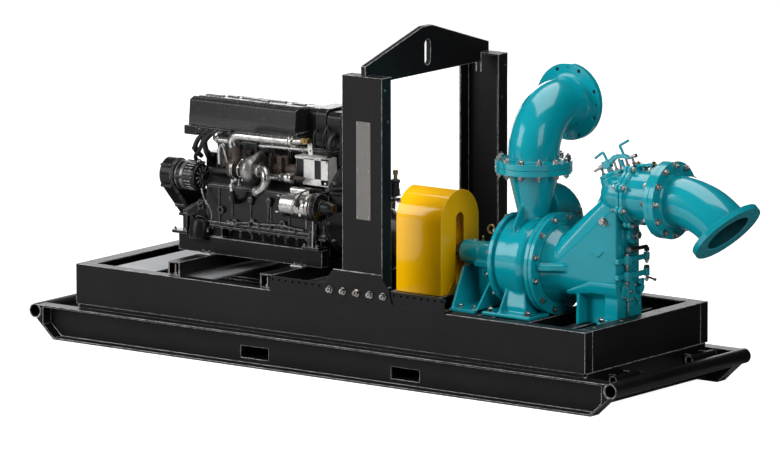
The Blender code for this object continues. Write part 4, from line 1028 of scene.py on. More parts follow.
# %% Top cover, its pads and its rear covers
bm = bmesh.new()
outline = [(-0.236, 1.41), (-0.205, 1.41), (-0.205, 1.336), (0.265, 1.336), (0.3, 1.42),
           (0.3, 1.45), (0.2, 1.535), (-0.185, 1.58), (-0.226, 1.562), (-0.232, 1.47),
           (-0.236, 1.463)]
add_plate(bm, outline, "YZ", -1.38, -0.53)
add_box(bm, (-1.394, -0.222, 1.395), (-0.524, 0.285, 1.42))
piece("top_cover_shell", bm, COVER_BLACK, "top_cover", bevel=0.006, segments=3)
bm = bmesh.new()
SLOPE = (1.535 - 1.58) / 0.385
for index in range(6):
    start = -1.345 + 0.137 * index
    for low_y, high_y in ((-0.172, -0.062), (-0.04, 0.08), (0.1, 0.18)):
        pad = [(low_y, 1.578 + SLOPE * (low_y + 0.185)),
               (high_y, 1.578 + SLOPE * (high_y + 0.185)),
               (high_y, 1.586 + SLOPE * (high_y + 0.185)),
               (low_y, 1.586 + SLOPE * (low_y + 0.185))]
        add_plate(bm, pad, "YZ", start, start + 0.118)
for start, end, y in ((-1.335, -1.2, -0.1), (-1.205, -1.13, -0.04), (-1.1, -1.05, -0.03),
        (-1.03, -0.92, -0.05), (-0.95, -0.78, 0.0), (-0.9, -0.85, -0.09), (-0.7, -0.6, -0.03)):
    z = 1.584 + SLOPE * (y + 0.185)
    add_box(bm, (start, y - 0.014, z), (end, y + 0.014, z + 0.012))
piece("top_cover_pads", bm, COVER_BLACK, bevel=0.002)

bm = bmesh.new()
for start, end, high, near in ((-0.522, -0.452, 1.568, -0.105), (-0.448, -0.372, 1.575, -0.12),
        (-0.368, -0.262, 1.56, -0.112)):
    outline = [(near, 1.336), (0.225, 1.336), (0.225, high - 0.075)]
    outline += arc((0.165, high - 0.06), 0.06, 0, 90, 6)
    outline += arc((near + 0.045, high - 0.045), 0.045, 90, 180, 6)
    add_plate(bm, outline, "YZ", start, end)
piece("rear_cover_shells", bm, ENGINE_BLACK, bevel=0.006, segments=3)

bm = bmesh.new()
add_box(bm, (-1.417, -0.236, 1.336), (-1.316, -0.175, 1.394))
add_box(bm, (-1.316, -0.226, 1.352), (-1.05, -0.19, 1.392))
for x in (-1.3, -1.24, -1.18, -1.12, -1.06):
    add_bar(bm, (x, -0.224, 1.372), (x, -0.238, 1.372), 0.008, 6)
piece("cover_gasket_rail", bm, ENGINE_BLACK, bevel=0.003)

# %% [markdown]
# ## Exhaust side
# The manifold is a rusty log with six branches. On it sits the turbocharger: a rusty
# turbine, a narrow waist with clamps, and a silver snail that blows into a curled pipe.
# Silver pipes run above it to a clamp and a brass fitting.

# %% Exhaust manifold
bm = bmesh.new()
add_hose(bm, [(-1.085, -0.232, 1.19), (-0.9, -0.236, 1.186), (-0.7, -0.236, 1.186),
         (-0.5, -0.228, 1.192)], 6, 0.036, 20)
for index in range(6):
    x = -1.06 + 0.108 * index
    add_hose(bm, [(x, -0.16, 1.225), (x, -0.2, 1.22), (x + 0.01, -0.236, 1.19)], 5, 0.026, 14)
    add_box(bm, (x - 0.04, -0.186, 1.178), (x + 0.04, -0.171, 1.27))
add_box(bm, (-0.945, -0.3, 1.14), (-0.865, -0.24, 1.235))
casting("exhaust_manifold_casting", bm, HOT_IRON, "exhaust_manifold", voxel=0.004, rounds=3)
bolts("manifold_studs", [(-1.06 + 0.108 * i + s * 0.03, -0.188, z) for i in range(6)
      for s, z in ((-1, 1.19), (1, 1.258))], NEARWARDS, HOT_IRON, 0.016)

# %% Turbocharger
TURBO_Y, TURBO_Z = -0.365, 1.187
bm = bmesh.new()
compressor = [(0, 0), (0.05, 0), (0.064, 0.01), (0.078, 0.026), (0.086, 0.048), (0.086, 0.064),
              (0.079, 0.084), (0.066, 0.098), (0.052, 0.102), (0.05, 0.092), (0.04, 0.09),
              (0.036, 0.112), (0.036, 0.128), (0, 0.128)]
add_turned(bm, compressor, (-0.832, TURBO_Y, TURBO_Z), ALONG, 64)
add_hose(bm, [(-0.765, TURBO_Y, TURBO_Z + 0.058), (-0.768, TURBO_Y + 0.05, TURBO_Z + 0.07),
         (-0.77, TURBO_Y + 0.1, TURBO_Z + 0.078)], 6, 0.03, 20)
casting("compressor_housing", bm, CAST_SILVER, "turbocharger", voxel=0.003, rounds=4,
        slot="bare_steel")
bm = bmesh.new()
add_ring(bm, 0.03, 0.05, 0.006, (-0.7045, TURBO_Y, TURBO_Z), ALONG, 40)
for spot in bolt_ring((-0.832, TURBO_Y, TURBO_Z), ALONG, 0.062, 6):
    add_bar(bm, spot - Vector((0.01, 0, 0)), spot + Vector((0.006, 0, 0)), 0.006, 6)
curl = [(-0.712, TURBO_Y, 1.187), (-0.682, TURBO_Y - 0.008, 1.194),
        (-0.65, TURBO_Y - 0.03, 1.196), (-0.628, TURBO_Y - 0.048, 1.172),
        (-0.62, TURBO_Y - 0.055, 1.135), (-0.64, TURBO_Y - 0.055, 1.095),
        (-0.676, TURBO_Y - 0.055, 1.068), (-0.7, TURBO_Y - 0.055, 1.058)]
add_hose(bm, curl, 8, 0.0295, 28)
end = Vector(curl[-1])
way = (end - Vector(curl[-2])).normalized()
add_ring(bm, 0.024, 0.036, 0.006, end - way * 0.008, way, 32)
piece("compressor_pipe", bm, SILVER, bevel=0.001)
bm = bmesh.new()
turbine = [(0, 0), (0.042, 0), (0.056, 0.008), (0.062, 0.022), (0.062, 0.044), (0.052, 0.056),
           (0.036, 0.06), (0.03, 0.072), (0.03, 0.094), (0.044, 0.1), (0.06, 0.104),
           (0.06, 0.112), (0, 0.112)]
add_turned(bm, turbine, (-0.946, TURBO_Y, TURBO_Z - 0.006), ALONG, 56)
add_hose(bm, [(-0.902, TURBO_Y, 1.206), (-0.893, TURBO_Y, 1.25), (-0.9, TURBO_Y, 1.296),
         (-0.915, TURBO_Y, 1.318)], 6, 0.031, 24)
add_box(bm, (-0.94, TURBO_Y, 1.152), (-0.88, -0.268, 1.222))
casting("turbine_housing", bm, HOT_IRON, voxel=0.0032, rounds=3)
bm = bmesh.new()
for x, radius in ((-0.905, 0.0665), (-0.894, 0.0655), (-0.846, 0.066)):
    add_turned(bm, [(radius - 0.012, 0), (radius, 0.001), (radius, 0.007),
               (radius - 0.012, 0.008)], (x, TURBO_Y, TURBO_Z - 0.004), ALONG, 48)
    add_bar(bm, (x + 0.004, TURBO_Y - 0.012, TURBO_Z - 0.072),
            (x + 0.004, TURBO_Y + 0.016, TURBO_Z - 0.072), 0.006, 10)
drain = [(-0.892, TURBO_Y, 1.11), (-0.915, TURBO_Y, 1.102), (-0.937, TURBO_Y + 0.008, 1.09),
         (-0.944, TURBO_Y + 0.014, 1.05), (-0.95, TURBO_Y + 0.04, 0.975)]
add_hose(bm, drain, 6, 0.01, 14)
for spot, size in (((-0.925, TURBO_Y + 0.004, 1.1), 0.017),
        ((-0.942, TURBO_Y + 0.012, 1.066), 0.018), ((-0.945, TURBO_Y + 0.018, 1.04), 0.016)):
    add_bar(bm, Vector(spot) + Vector((0, 0, 0.01)), Vector(spot) - Vector((0, 0, 0.01)), size,
            6)
add_bar(bm, (-0.873, TURBO_Y, 1.118), (-0.873, TURBO_Y, 1.072), 0.008, 16, 0.014)
piece("turbo_clamps_and_drain", bm, SILVER, bevel=0.0008)
bm = bmesh.new()
add_hose(bm, [(-0.945, -0.348, 1.036), (-0.95, -0.33, 0.99), (-0.955, -0.3, 0.958),
         (-0.96, -0.25, 0.95)], 6, 0.017, 18)
piece("turbo_drain_hose", bm, BLACK_RUBBER_AND_SHADE, bevel=0)

# %% Silver pipes above and behind the turbocharger
bm = bmesh.new()
main = [(-0.916, TURBO_Y, 1.316), (-0.928, TURBO_Y, 1.352), (-0.915, TURBO_Y, 1.382),
        (-0.88, TURBO_Y, 1.392), (-0.8, TURBO_Y, 1.394), (-0.65, TURBO_Y, 1.395),
        (-0.452, TURBO_Y, 1.397)]
add_hose(bm, main, 8, 0.029, 30)
for x in (-0.478, -0.452):
    add_ring(bm, 0.02, 0.0355, 0.01, (x, TURBO_Y, 1.397), ALONG, 40)
add_bar(bm, (-0.445, TURBO_Y, 1.399), (-0.372, TURBO_Y, 1.408), 0.021, 24)
left = [(-0.93, -0.35, 1.356), (-0.985, -0.348, 1.35), (-1.048, -0.345, 1.348),
        (-1.084, -0.335, 1.352), (-1.098, -0.305, 1.368), (-1.092, -0.255, 1.372),
        (-1.08, -0.2, 1.34)]
add_hose(bm, left, 7, 0.0185, 22)
add_ring(bm, 0.014, 0.024, 0.008, (-1.06, -0.345, 1.348), ALONG, 28)
add_hose(bm, [(-0.756, -0.3, 1.334), (-0.6, -0.302, 1.34), (-0.45, -0.302, 1.344),
         (-0.345, -0.3, 1.35)], 6, 0.0145, 18)
for x in (-0.66, -0.52, -0.41):
    add_ring(bm, 0.01, 0.019, 0.008, (x, -0.301, 1.339), ALONG, 24)
for x in (-0.72, -0.56):
    add_bar(bm, (x, -0.3, 1.336), (x, -0.17, 1.328), 0.009, 12)
piece("charge_pipes", bm, SILVER, "charge_pipe", bevel=0.001)

bm = bmesh.new()
add_hose(bm, [(-1.064, -0.32, 1.19), (-1.064, -0.325, 1.27), (-1.056, -0.326, 1.302),
         (-1.04, -0.326, 1.314), (-1.024, -0.326, 1.302), (-1.016, -0.325, 1.27),
         (-1.014, -0.3, 1.205)], 6, 0.013, 16)
add_bar(bm, (-0.672, -0.318, 1.146), (-0.566, -0.322, 1.153), 0.019, 28, 0.024)
add_ring(bm, 0.016, 0.029, 0.01, (-0.57, -0.322, 1.153), ALONG, 32)
bulb = [(0, 0), (0.022, 0), (0.031, 0.016), (0.035, 0.036), (0.033, 0.056), (0.027, 0.068),
        (0.036, 0.07), (0.036, 0.078), (0, 0.078)]
add_turned(bm, bulb, (-0.558, -0.322, 1.155), ALONG, 40)
piece("cross_over_pipe", bm, SILVER, bevel=0.001)
bm = bmesh.new()
add_bar(bm, (-0.482, -0.32, 1.158), (-0.405, -0.3, 1.156), 0.016, 18, 0.012)
for x, z in ((-0.74, 1.19), (-0.69, 1.19), (-0.6, 1.2)):
    add_box(bm, (x - 0.004, -0.29, z - 0.055), (x + 0.004, -0.236, z + 0.07))
add_box(bm, (-0.655, -0.262, 1.15), (-0.57, -0.24, 1.275))
piece("manifold_shields", bm, HOT_IRON, bevel=0.002)

# %% Heat shield with its slots, and the brass fitting
bm = bmesh.new()
SHIELD_NEAR = -0.268
for low, high in (((-0.436, 1.15), (-0.35, 1.284)), ((-0.3, 1.12), (-0.242, 1.292)),
        ((-0.505, 1.276), (-0.242, 1.294)), ((-0.443, 1.114), (-0.242, 1.156))):
    add_box(bm, (low[0], SHIELD_NEAR, low[1]), (high[0], SHIELD_NEAR + 0.006, high[1]))
add_box(bm, (-0.505, SHIELD_NEAR, 1.288), (-0.242, -0.176, 1.294))
add_box(bm, (-0.248, SHIELD_NEAR, 1.12), (-0.242, -0.176, 1.292))
for x, z in ((-0.262, 1.272), (-0.262, 1.136), (-0.425, 1.136), (-0.33, 1.285)):
    add_bar(bm, (x, SHIELD_NEAR + 0.001, z), (x, SHIELD_NEAR - 0.008, z), 0.009, 6)
bracket = [(-0.352, 1.42), (-0.322, 1.42), (-0.306, 1.395), (-0.3, 1.325), (-0.332, 1.322),
           (-0.344, 1.395)]
add_plate(bm, bracket, "XZ", -0.352, -0.347)
piece("heat_shield_plates", bm, SHIELD_STEEL, "heat_shield", bevel=0.0012)
bm = bmesh.new()
add_box(bm, (-0.5, -0.262, 1.125), (-0.255, -0.171, 1.28))
add_bar(bm, (-0.316, -0.3535, 1.352), (-0.316, -0.3545, 1.352), 0.006, 16)
piece("shield_core", bm, ENGINE_BLACK, bevel=0.002)
bm = bmesh.new()
add_bar(bm, (-0.372, TURBO_Y, 1.408), (-0.35, TURBO_Y, 1.411), 0.025, 6)
add_bar(bm, (-0.35, TURBO_Y, 1.411), (-0.312, TURBO_Y, 1.416), 0.019, 24)
add_ring(bm, 0.006, 0.017, 0.012, (-0.332, TURBO_Y - 0.016, 1.413), NEARWARDS, 24)
piece("brass_fitting", bm, BRASS, bevel=0.001)

# %% [markdown]
# ## Starter motor
# A polished can with a black drive end. Its clamp band, terminals and through bolts are
# the small things that make it a starter rather than a can.

# %% Starter motor
bm = bmesh.new()
can = [(0, 0), (0.052, 0), (0.066, 0.006), (0.078, 0.014), (0.0835, 0.026), (0.0835, 0.14),
       (0.08, 0.142), (0.08, 0.15), (0.0835, 0.152), (0.0835, 0.214), (0.078, 0.22),
       (0.078, 0.262), (0, 0.262)]
add_turned(bm, can, (-0.531, -0.35, 0.992), ALONG, 72)
for turn in (35, 130, 215, 320):
    spot = spoke(turn) * 0.076
    add_bar(bm, Vector((-0.545, -0.35, 0.992)) + spot, Vector((-0.525, -0.35, 0.992)) + spot,
            0.007, 6)
add_bar(bm, (-0.478, -0.33, 1.084), (-0.33, -0.33, 1.086), 0.024, 28)
piece("starter_can", bm, SILVER, "starter_motor", bevel=0.001)
bm = bmesh.new()
add_turned(bm, [(0, 0), (0.09, 0), (0.092, 0.012), (0.086, 0.034), (0.06, 0.046), (0, 0.046)],
           (-0.27, -0.35, 0.996), ALONG, 56)
add_hull(bm, (add_bar, (-0.235, -0.35, 0.998), (-0.16, -0.35, 0.998), 0.046, 32),
         (add_bar, (-0.235, -0.35, 0.998), (-0.132, -0.35, 0.998), 0.03, 32))
add_box(bm, (-0.262, -0.37, 0.96), (-0.236, -0.24, 1.09))
piece("starter_drive_end", bm, ENGINE_BLACK, bevel=0.003)
bm = bmesh.new()
for x, y, z in ((-0.392, -0.436, 1.02), (-0.36, -0.434, 0.996), (-0.33, -0.43, 1.036),
                (-0.345, -0.425, 0.95)):
    add_bar(bm, (x, -0.345, z), (x, y, z), 0.007, 12)
    add_bar(bm, (x, y + 0.004, z), (x, y - 0.006, z), 0.012, 6)
for x in (-0.3, -0.41):
    add_ring(bm, 0.08, 0.0875, 0.012, (x, -0.35, 0.992), ALONG, 56)
piece("starter_terminals", bm, STAINLESS, bevel=0.0006)
bm = bmesh.new()
add_box(bm, (-0.378, -0.434, 0.985), (-0.345, -0.424, 1.048))
add_hose(bm, [(-0.36, -0.44, 1.000), (-0.352, -0.448, 1.04), (-0.33, -0.43, 1.09),
         (-0.3, -0.38, 1.11), (-0.27, -0.3, 1.1)], 6, 0.0055, 10)
piece("starter_cable", bm, HOT_IRON, bevel=0.0006, slot=None)

# %% [markdown]
# ## Belt drive
# A deep drum-shaped guard covers the alternator's pulley and reaches down to the crank.
# The alternator behind it has a silver ring and a ribbed body.

# %% Belt guard, alternator, crank pulley
ALTERNATOR = (-0.258, 1.078)
CRANK = (-0.01, 0.815)
bm = bmesh.new()
add_hull(bm, (add_bar, (-1.52, *ALTERNATOR), (-1.436, *ALTERNATOR), 0.105, 64),
         (add_bar, (-1.52, *CRANK), (-1.436, *CRANK), 0.108, 64))
rim = bmesh.new()
add_hull(rim, (add_bar, (-1.444, *ALTERNATOR), (-1.425, *ALTERNATOR), 0.0945, 64),
         (add_bar, (-1.444, *CRANK), (-1.425, *CRANK), 0.098, 64))
add_part(bm, rim)
for y, z in ((-0.352, 1.01), (-0.205, 0.862), (-0.165, 0.8), (-0.352, 1.145)):
    add_bar(bm, (-1.512, y, z), (-1.435, y, z), 0.01, 16)
piece("belt_guard_shell", bm, ENGINE_BLACK, "belt_guard", bevel=0.005, segments=3)
bm = bmesh.new()
body = [(0, 0), (0.022, 0), (0.022, 0.012), (0.07, 0.016), (0.084, 0.026), (0.089, 0.044),
        (0.089, 0.112), (0.083, 0.118), (0.083, 0.13), (0.092, 0.134), (0.092, 0.176),
        (0.07, 0.186), (0, 0.186)]
add_turned(bm, body, (-1.236, *ALTERNATOR), BACKWARDS, 72)
for step in range(24):
    start = Vector((-1.288, *ALTERNATOR)) + spoke(15 * step) * 0.0885
    add_bar(bm, start, start - Vector((0.052, 0, 0)), 0.0035, 6)
for step in range(12):
    spot = spoke(30 * step)
    add_bar(bm, Vector((-1.247, *ALTERNATOR)) + spot * 0.032,
            Vector((-1.249, *ALTERNATOR)) + spot * 0.066, 0.004, 6)
for turn in (60, 180, 300):
    spot = spoke(turn) * 0.096
    add_bar(bm, Vector((-1.27, *ALTERNATOR)) + spot, Vector((-1.405, *ALTERNATOR)) + spot,
            0.009, 14)
piece("alternator_body", bm, ENGINE_BLACK, "alternator", bevel=0.002)
bm = bmesh.new()
add_ring(bm, 0.07, 0.0905, 0.022, (-1.352, *ALTERNATOR), BACKWARDS, 72)
add_ring(bm, 0.07, 0.094, 0.006, (-1.4, *ALTERNATOR), BACKWARDS, 72)
piece("alternator_ring", bm, CAST_SILVER, bevel=0.001)
bm = bmesh.new()
pulley = [(0, 0), (0.05, 0), (0.05, 0.012), (0.086, 0.014), (0.094, 0.024), (0.09, 0.034),
          (0.096, 0.044), (0.09, 0.054), (0.096, 0.064), (0.094, 0.08), (0.08, 0.092),
          (0.04, 0.096), (0, 0.096)]
add_turned(bm, pulley, (-1.338, *CRANK), BACKWARDS, 64)
piece("crank_pulley_wheel", bm, ENGINE_BLACK, "crank_pulley", bevel=0.001)
bm = bmesh.new()
filter_can = [(0, 0), (0.05, 0), (0.066, 0.008), (0.074, 0.028), (0.074, 0.11), (0.066, 0.13),
              (0, 0.134)]
add_turned(bm, filter_can, (-1.262, -0.25, 0.8), (0, -0.25, -1), 48)
add_bar(bm, (-1.262, -0.25, 0.8), (-1.262, -0.215, 0.845), 0.045, 32)
piece("front_filter", bm, ENGINE_BLACK, bevel=0.002)

# %% [markdown]
# ## Hoses, cables and small lines
# Wires and hoses break up the outline of an engine. Each is a tube on a smooth path that
# starts and ends inside the part it serves.

# %% Hoses and cables
bm = bmesh.new()
for path, radius in (
        ([(-1.225, -0.21, 1.12), (-1.15, -0.25, 1.128), (-1.043, -0.25, 1.134),
          (-1.00, -0.2, 1.14)], 0.02),
        ([(-1.36, -0.13, 1.185), (-1.352, -0.205, 1.24), (-1.325, -0.215, 1.3),
          (-1.285, -0.205, 1.345)], 0.016),
        ([(-1.34, -0.16, 1.13), (-1.342, -0.215, 1.19), (-1.3, -0.225, 1.245),
          (-1.262, -0.215, 1.345)], 0.013),
        ([(-1.262, -0.16, 1.17), (-1.25, -0.215, 1.23), (-1.262, -0.22, 1.3),
          (-1.225, -0.205, 1.35)], 0.018),
        ([(-0.3, -0.12, 1.42), (-0.285, -0.2, 1.39), (-0.262, -0.235, 1.33),
          (-0.275, -0.2, 1.29)], 0.018),
        ([(-0.255, -0.1, 1.52), (-0.205, -0.16, 1.44), (-0.2, -0.19, 1.34),
          (-0.21, -0.18, 1.245)], 0.012),
        ([(-0.235, -0.05, 1.5), (-0.17, -0.1, 1.4), (-0.165, -0.15, 1.3),
          (-0.19, -0.17, 1.235)], 0.016),
        ([(-0.44, -0.125, 1.44), (-0.43, -0.165, 1.42), (-0.425, -0.172, 1.36),
          (-0.43, -0.15, 1.32)], 0.007),
        ([(-0.36, -0.12, 1.47), (-0.35, -0.172, 1.42), (-0.345, -0.182, 1.36),
          (-0.35, -0.15, 1.32)], 0.007),
        ([(-0.24, -0.24, 1.09), (-0.2, -0.262, 1.105), (-0.16, -0.25, 1.108),
          (-0.12, -0.2, 1.1)], 0.01),
        ([(-0.24, -0.245, 1.065), (-0.19, -0.268, 1.075), (-0.15, -0.258, 1.078),
          (-0.11, -0.21, 1.07)], 0.008)):
    add_hose(bm, path, 7, radius, 16)
for spot in ((-1.352, -0.205, 1.24), (-1.285, -0.207, 1.34), (-1.25, -0.215, 1.23),
             (-0.262, -0.235, 1.33)):
    add_ring(bm, 0.01, 0.022, 0.012, spot, (0.1, -0.1, 1), 20)
piece("engine_hoses", bm, BLACK_RUBBER_AND_SHADE, bevel=0)
bm = bmesh.new()
add_hose(bm, [(-1.236, -0.29, 1.01), (-1.215, -0.3, 0.965), (-1.194, -0.3, 0.931),
         (-1.155, -0.3, 0.88), (-1.146, -0.3, 0.84), (-1.158, -0.298, 0.79),
         (-1.19, -0.285, 0.745), (-1.196, -0.27, 0.722)], 7, 0.0038, 8)
for spot in ((-1.226, -0.295, 0.99), (-1.19, -0.3, 0.925), (-1.193, -0.284, 0.742)):
    add_bar(bm, Vector(spot) + Vector((0.002, 0, -0.01)),
            Vector(spot) + Vector((-0.002, 0, 0.012)), 0.007, 10)
add_ball(bm, (-1.298, -0.232, 1.166), 0.019, 20, 12)
add_bar(bm, (-1.298, -0.232, 1.15), (-1.298, -0.225, 1.125), 0.011, 6)
piece("sender_and_cable", bm, STAINLESS, bevel=0)

# %% [markdown]
# ## Far side of the engine
# It isn't seen in the photograph. An inline engine has its intake there, so a plain intake
# log and two filter cans finish it.

# %% Intake side
bm = bmesh.new()
add_hose(bm, [(-1.16, 0.255, 1.215), (-0.95, 0.262, 1.22), (-0.6, 0.262, 1.22),
         (-0.34, 0.255, 1.21)], 6, 0.04, 22)
for index in range(6):
    x = -1.1 + 0.138 * index
    add_box(bm, (x - 0.03, 0.195, 1.18), (x + 0.03, 0.262, 1.255))
casting("intake_log", bm, ENGINE_BLACK, voxel=0.006, rounds=4)
bm = bmesh.new()
for x in (-0.95, -0.78):
    add_turned(bm, [(0, 0), (0.04, 0), (0.05, 0.008), (0.054, 0.03), (0.054, 0.165),
               (0.046, 0.178), (0, 0.18)], (x, 0.318, 0.845), UP, 48)
    add_box(bm, (x - 0.045, 0.245, 1.018), (x + 0.045, 0.35, 1.052))
piece("filter_cans", bm, ENGINE_BLACK, bevel=0.002)
print("engine pieces:", len(PIECES))

# %% [markdown]
# ## Volute
# The volute is the drum-shaped casting round the impeller. Its back ring and its cover
# ring are machined, so they're crisp turned discs. The drum, its two feet and the cone
# that leaves its top came out of one mould, so they're skinned together with fillets.

# %% Volute casting and its machined rings
SHAFT_Z = 0.765
BACK_X = 1.01
RING_X = 1.335
RISER_X = 1.156
JOINT_Z = 1.362
BED_TOP = 0.4447

bm = bmesh.new()
drum = [(0, 0.004), (0.262, 0.004), (0.27, 0.034), (0.273, 0.1), (0.281, 0.17), (0.285, 0.21),
        (0.279, 0.245), (0.264, 0.27), (0.262, 0.305), (0, 0.305)]
add_turned(bm, drum, (BACK_X, 0, SHAFT_Z), ALONG, 96)
cone = [(0, 0), (0.106, 0), (0.098, 0.04), (0.102, 0.087), (0.126, 0.19), (0.151, 0.295),
        (0.156, 0.318), (0.157, 0.345), (0, 0.345)]
add_turned(bm, cone, (RISER_X, 0, 0.985), UP, 72)
for side in (-1, 1):
    add_hull(bm, (add_box, (1.085, side * 0.115, 0.462), (1.275, side * 0.25, 0.5)),
             (add_box, (1.11, side * 0.1, 0.6), (1.25, side * 0.215, 0.64)))
    add_box(bm, (0.987, side * 0.1, BED_TOP + GAP), (1.353, side * 0.318, BED_TOP + 0.024))
    gusset = [(side * 0.15, 0.46), (side * 0.318, 0.46), (side * 0.3, 0.48),
              (side * 0.225, 0.615), (side * 0.15, 0.625)]
    add_plate(bm, gusset, "YZ", 1.104, 1.118)
for side in (-1, 1):
    fin = [(side * 0.06, 0.99), (side * 0.204, 0.96), (side * 0.208, 1.006),
           (side * 0.124, 1.12), (side * 0.1, 1.12)]
    add_plate(bm, fin, "YZ", 1.14, 1.16)
casting("volute_casting", bm, TEAL, "volute", voxel=0.0055, rounds=5)

bm = bmesh.new()
add_ring(bm, 0.2, 0.292, 0.028, (BACK_X, 0, SHAFT_Z), ALONG, 96)
add_ring(bm, 0.24, 0.318, 0.028, (RING_X - 0.0285, 0, SHAFT_Z), ALONG, 96)
piece("volute_rings", bm, TEAL, bevel=0.003)

# %% [markdown]
# ## Suction cover and chest
# A ring bolted to the volute narrows as a cone into the chest, which climbs to the inlet
# drum. The chest has flat sides, a round belly, and a top edge that is narrower than its
# sides. The skin of the hull over its end shapes gives the long smooth faces.

# %% Cover ring and gasket
COVER_BOLTS = 12
bm = bmesh.new()
add_turned(bm, [(0.2, 0), (0.318, 0), (0.318, 0.028), (0.252, 0.03), (0.25, 0.034),
           (0.2, 0.034)], (RING_X + 0.0035, 0, SHAFT_Z), ALONG, 96)
piece("cover_ring", bm, TEAL, "suction_cover", bevel=0.003)
bm = bmesh.new()
add_ring(bm, 0.28, 0.3165, 0.004, (RING_X - GAP, 0, SHAFT_Z), ALONG, 96)
piece("volute_gasket", bm, BLACK_RUBBER_AND_SHADE, bevel=0)

# %% Chest casting
CHEST_END = 1.873
CHEST_HALF = 0.125
INLET_Z = 1.25
BELLY_Z = 0.7
DRUM_END = 1.928

FILL_TILT = math.radians(22)
FILL_ORIGIN = (1.785, 0, 1.382)
COLLAR_TOP = -0.021


def oval_plate(half_along, half_across, low, high):
    bm = bmesh.new()
    add_bar(bm, (0, 0, low), (0, 0, high), 1.0, 64)
    bmesh.ops.scale(bm, vec=(half_along, half_across, 1), verts=bm.verts[:])
    return bm


def on_slope(bm):
    """Carry a piece from flat onto the slope of the filling cover."""
    slope = Matrix.Translation(FILL_ORIGIN) @ Matrix.Rotation(-FILL_TILT, 4, "Y")
    bmesh.ops.transform(bm, matrix=slope, verts=bm.verts[:])
    return bm


bm = bmesh.new()
add_turned(bm, [(0, 0), (0.247, 0), (0.238, 0.012), (0.205, 0.075), (0.196, 0.1), (0, 0.1)],
           (RING_X + 0.036, 0, SHAFT_Z), ALONG, 96)
add_hull(bm, (add_bar, (1.425, 0, SHAFT_Z), (1.44, 0, SHAFT_Z), 0.197, 72),
         (add_bar, (1.62, 0, BELLY_Z), (CHEST_END, 0, BELLY_Z), 0.1245, 64),
         (add_plate, [(1.66, 0.75), (CHEST_END, 0.75), (CHEST_END, 1.19), (1.76, 1.19)], "XZ",
         -CHEST_HALF, CHEST_HALF),
         (add_plate, [(1.66, 0.75), (CHEST_END, 0.75), (CHEST_END, 1.27), (1.775, 1.262)], "XZ",
         -0.072, 0.072))
add_plate(bm, [(1.6, 1.05), (1.617, 1.118), (1.664, 1.168), (1.7, 1.222), (1.722, 1.275),
          (1.8, 1.275), (1.8, 1.05)], "XZ", -0.064, 0.064)
bowl = bmesh.new()
profile = [(0.15 * math.sin(a), 0.15 * (1 - math.cos(a)))
           for a in [math.pi / 2 * s / 12 for s in range(13)]]
add_turned(bowl, profile + [(0.15, 0.229), (0, 0.229)], (DRUM_END - 0.229, 0, INLET_Z), ALONG,
           72)
above = bmesh.new()
add_box(above, (-0.3, -0.25, COLLAR_TOP - 0.002), (0.096, 0.25, 0.2))
add_part(bm, boolean(bowl, on_slope(above)))
add_turned(bm, [(0, 0), (0.06, 0), (0.06, 0.062), (0.052, 0.07), (0, 0.07)], (1.86, 0, 1.005),
           ALONG, 40)
add_part(bm, on_slope(oval_plate(0.092, 0.104, -0.19, COLLAR_TOP)))
add_part(bm, on_slope(oval_plate(0.102, 0.131, COLLAR_TOP - 0.058, COLLAR_TOP)))
add_bar(bm, (1.862, -0.118, 1.29), (1.862, -0.122, 1.345), 0.014, 24, 0.024)
for side in (-1, 1):
    rib = [(1.368, side * 0.2), (1.368, side * 0.272), (1.4, side * 0.27), (1.455, side * 0.24),
           (1.505, side * 0.205), (1.548, side * 0.18), (1.565, side * 0.165),
           (1.57, side * 0.148), (1.5, side * 0.1)]
    add_plate(bm, rib, "XY", 0.757, 0.797)
casting("chest_casting", bm, TEAL, "suction_chest", voxel=0.0055, rounds=7)

# %% [markdown]
# The chest stands on a saddle: a band that wraps the belly and sweeps out to a thin tip,
# a leg plate at the front, a solid leg at the back, and a web between them. The foot
# flange is bolted down each side.

# %% Chest foot
FOOT_BASE = 0.43


def half_ring(outer, inner, first, last):
    return arc((0, BELLY_Z), outer, first, last, 20) + arc((0, BELLY_Z), inner, last, first, 20)


bm = bmesh.new()
add_plate(bm, half_ring(0.1545, 0.112, 176, 364), "YZ", 1.792, 1.892)
for root, tip in (((177, 207), (203, 212)), ((333, 363), (328, 337))):
    add_plate(bm, half_ring(0.1545, 0.118, *root), "YZ", 1.684, 1.8)
    add_hull(bm, (add_plate, half_ring(0.1545, 0.14, *root), "YZ", 1.684, 1.7),
             (add_plate, half_ring(0.172, 0.158, *tip), "YZ", 1.52, 1.527))
front_leg = [(-0.15, FOOT_BASE), (0.15, FOOT_BASE), (0.146, 0.64), (0.1, 0.665), (-0.1, 0.665),
             (-0.146, 0.64)]
add_plate(bm, front_leg, "YZ", 1.588, 1.61)
add_box(bm, (1.6, -0.07, FOOT_BASE), (1.83, 0.07, 0.64))
add_hull(bm, (add_box, (1.79, -0.132, FOOT_BASE), (1.888, 0.132, 0.5)),
         (add_box, (1.79, -0.128, 0.6), (1.888, 0.128, 0.66)))
add_hull(bm, (add_bar, (1.806, -0.165, FOOT_BASE), (1.806, -0.165, 0.466), 0.04, 36),
         (add_bar, (1.806, 0.165, FOOT_BASE), (1.806, 0.165, 0.466), 0.04, 36),
         (add_box, (1.8, -0.16, FOOT_BASE), (1.89, 0.16, 0.466)))
casting("chest_foot_casting", bm, TEAL, "chest_foot", voxel=0.0045, rounds=4)
bolts("chest_foot_bolts", [(1.8, -0.172, 0.466), (1.8, 0.172, 0.466)], UP, STAINLESS, 0.034)

# %% [markdown]
# ## Flanged bends
# A bend is a circle carried from frame to frame: out along the outside, over the end
# flange, and back through the bore to where it began. The bore takes a darker teal, a
# painted shade for the dark inside of the pipe.

# %% Bend maker
FLANGE_RADIUS = 0.2415
FLANGE_THICK = 0.036
BORE = 0.15
BOLT_CIRCLE = 0.216
BEND_SIDES = 72


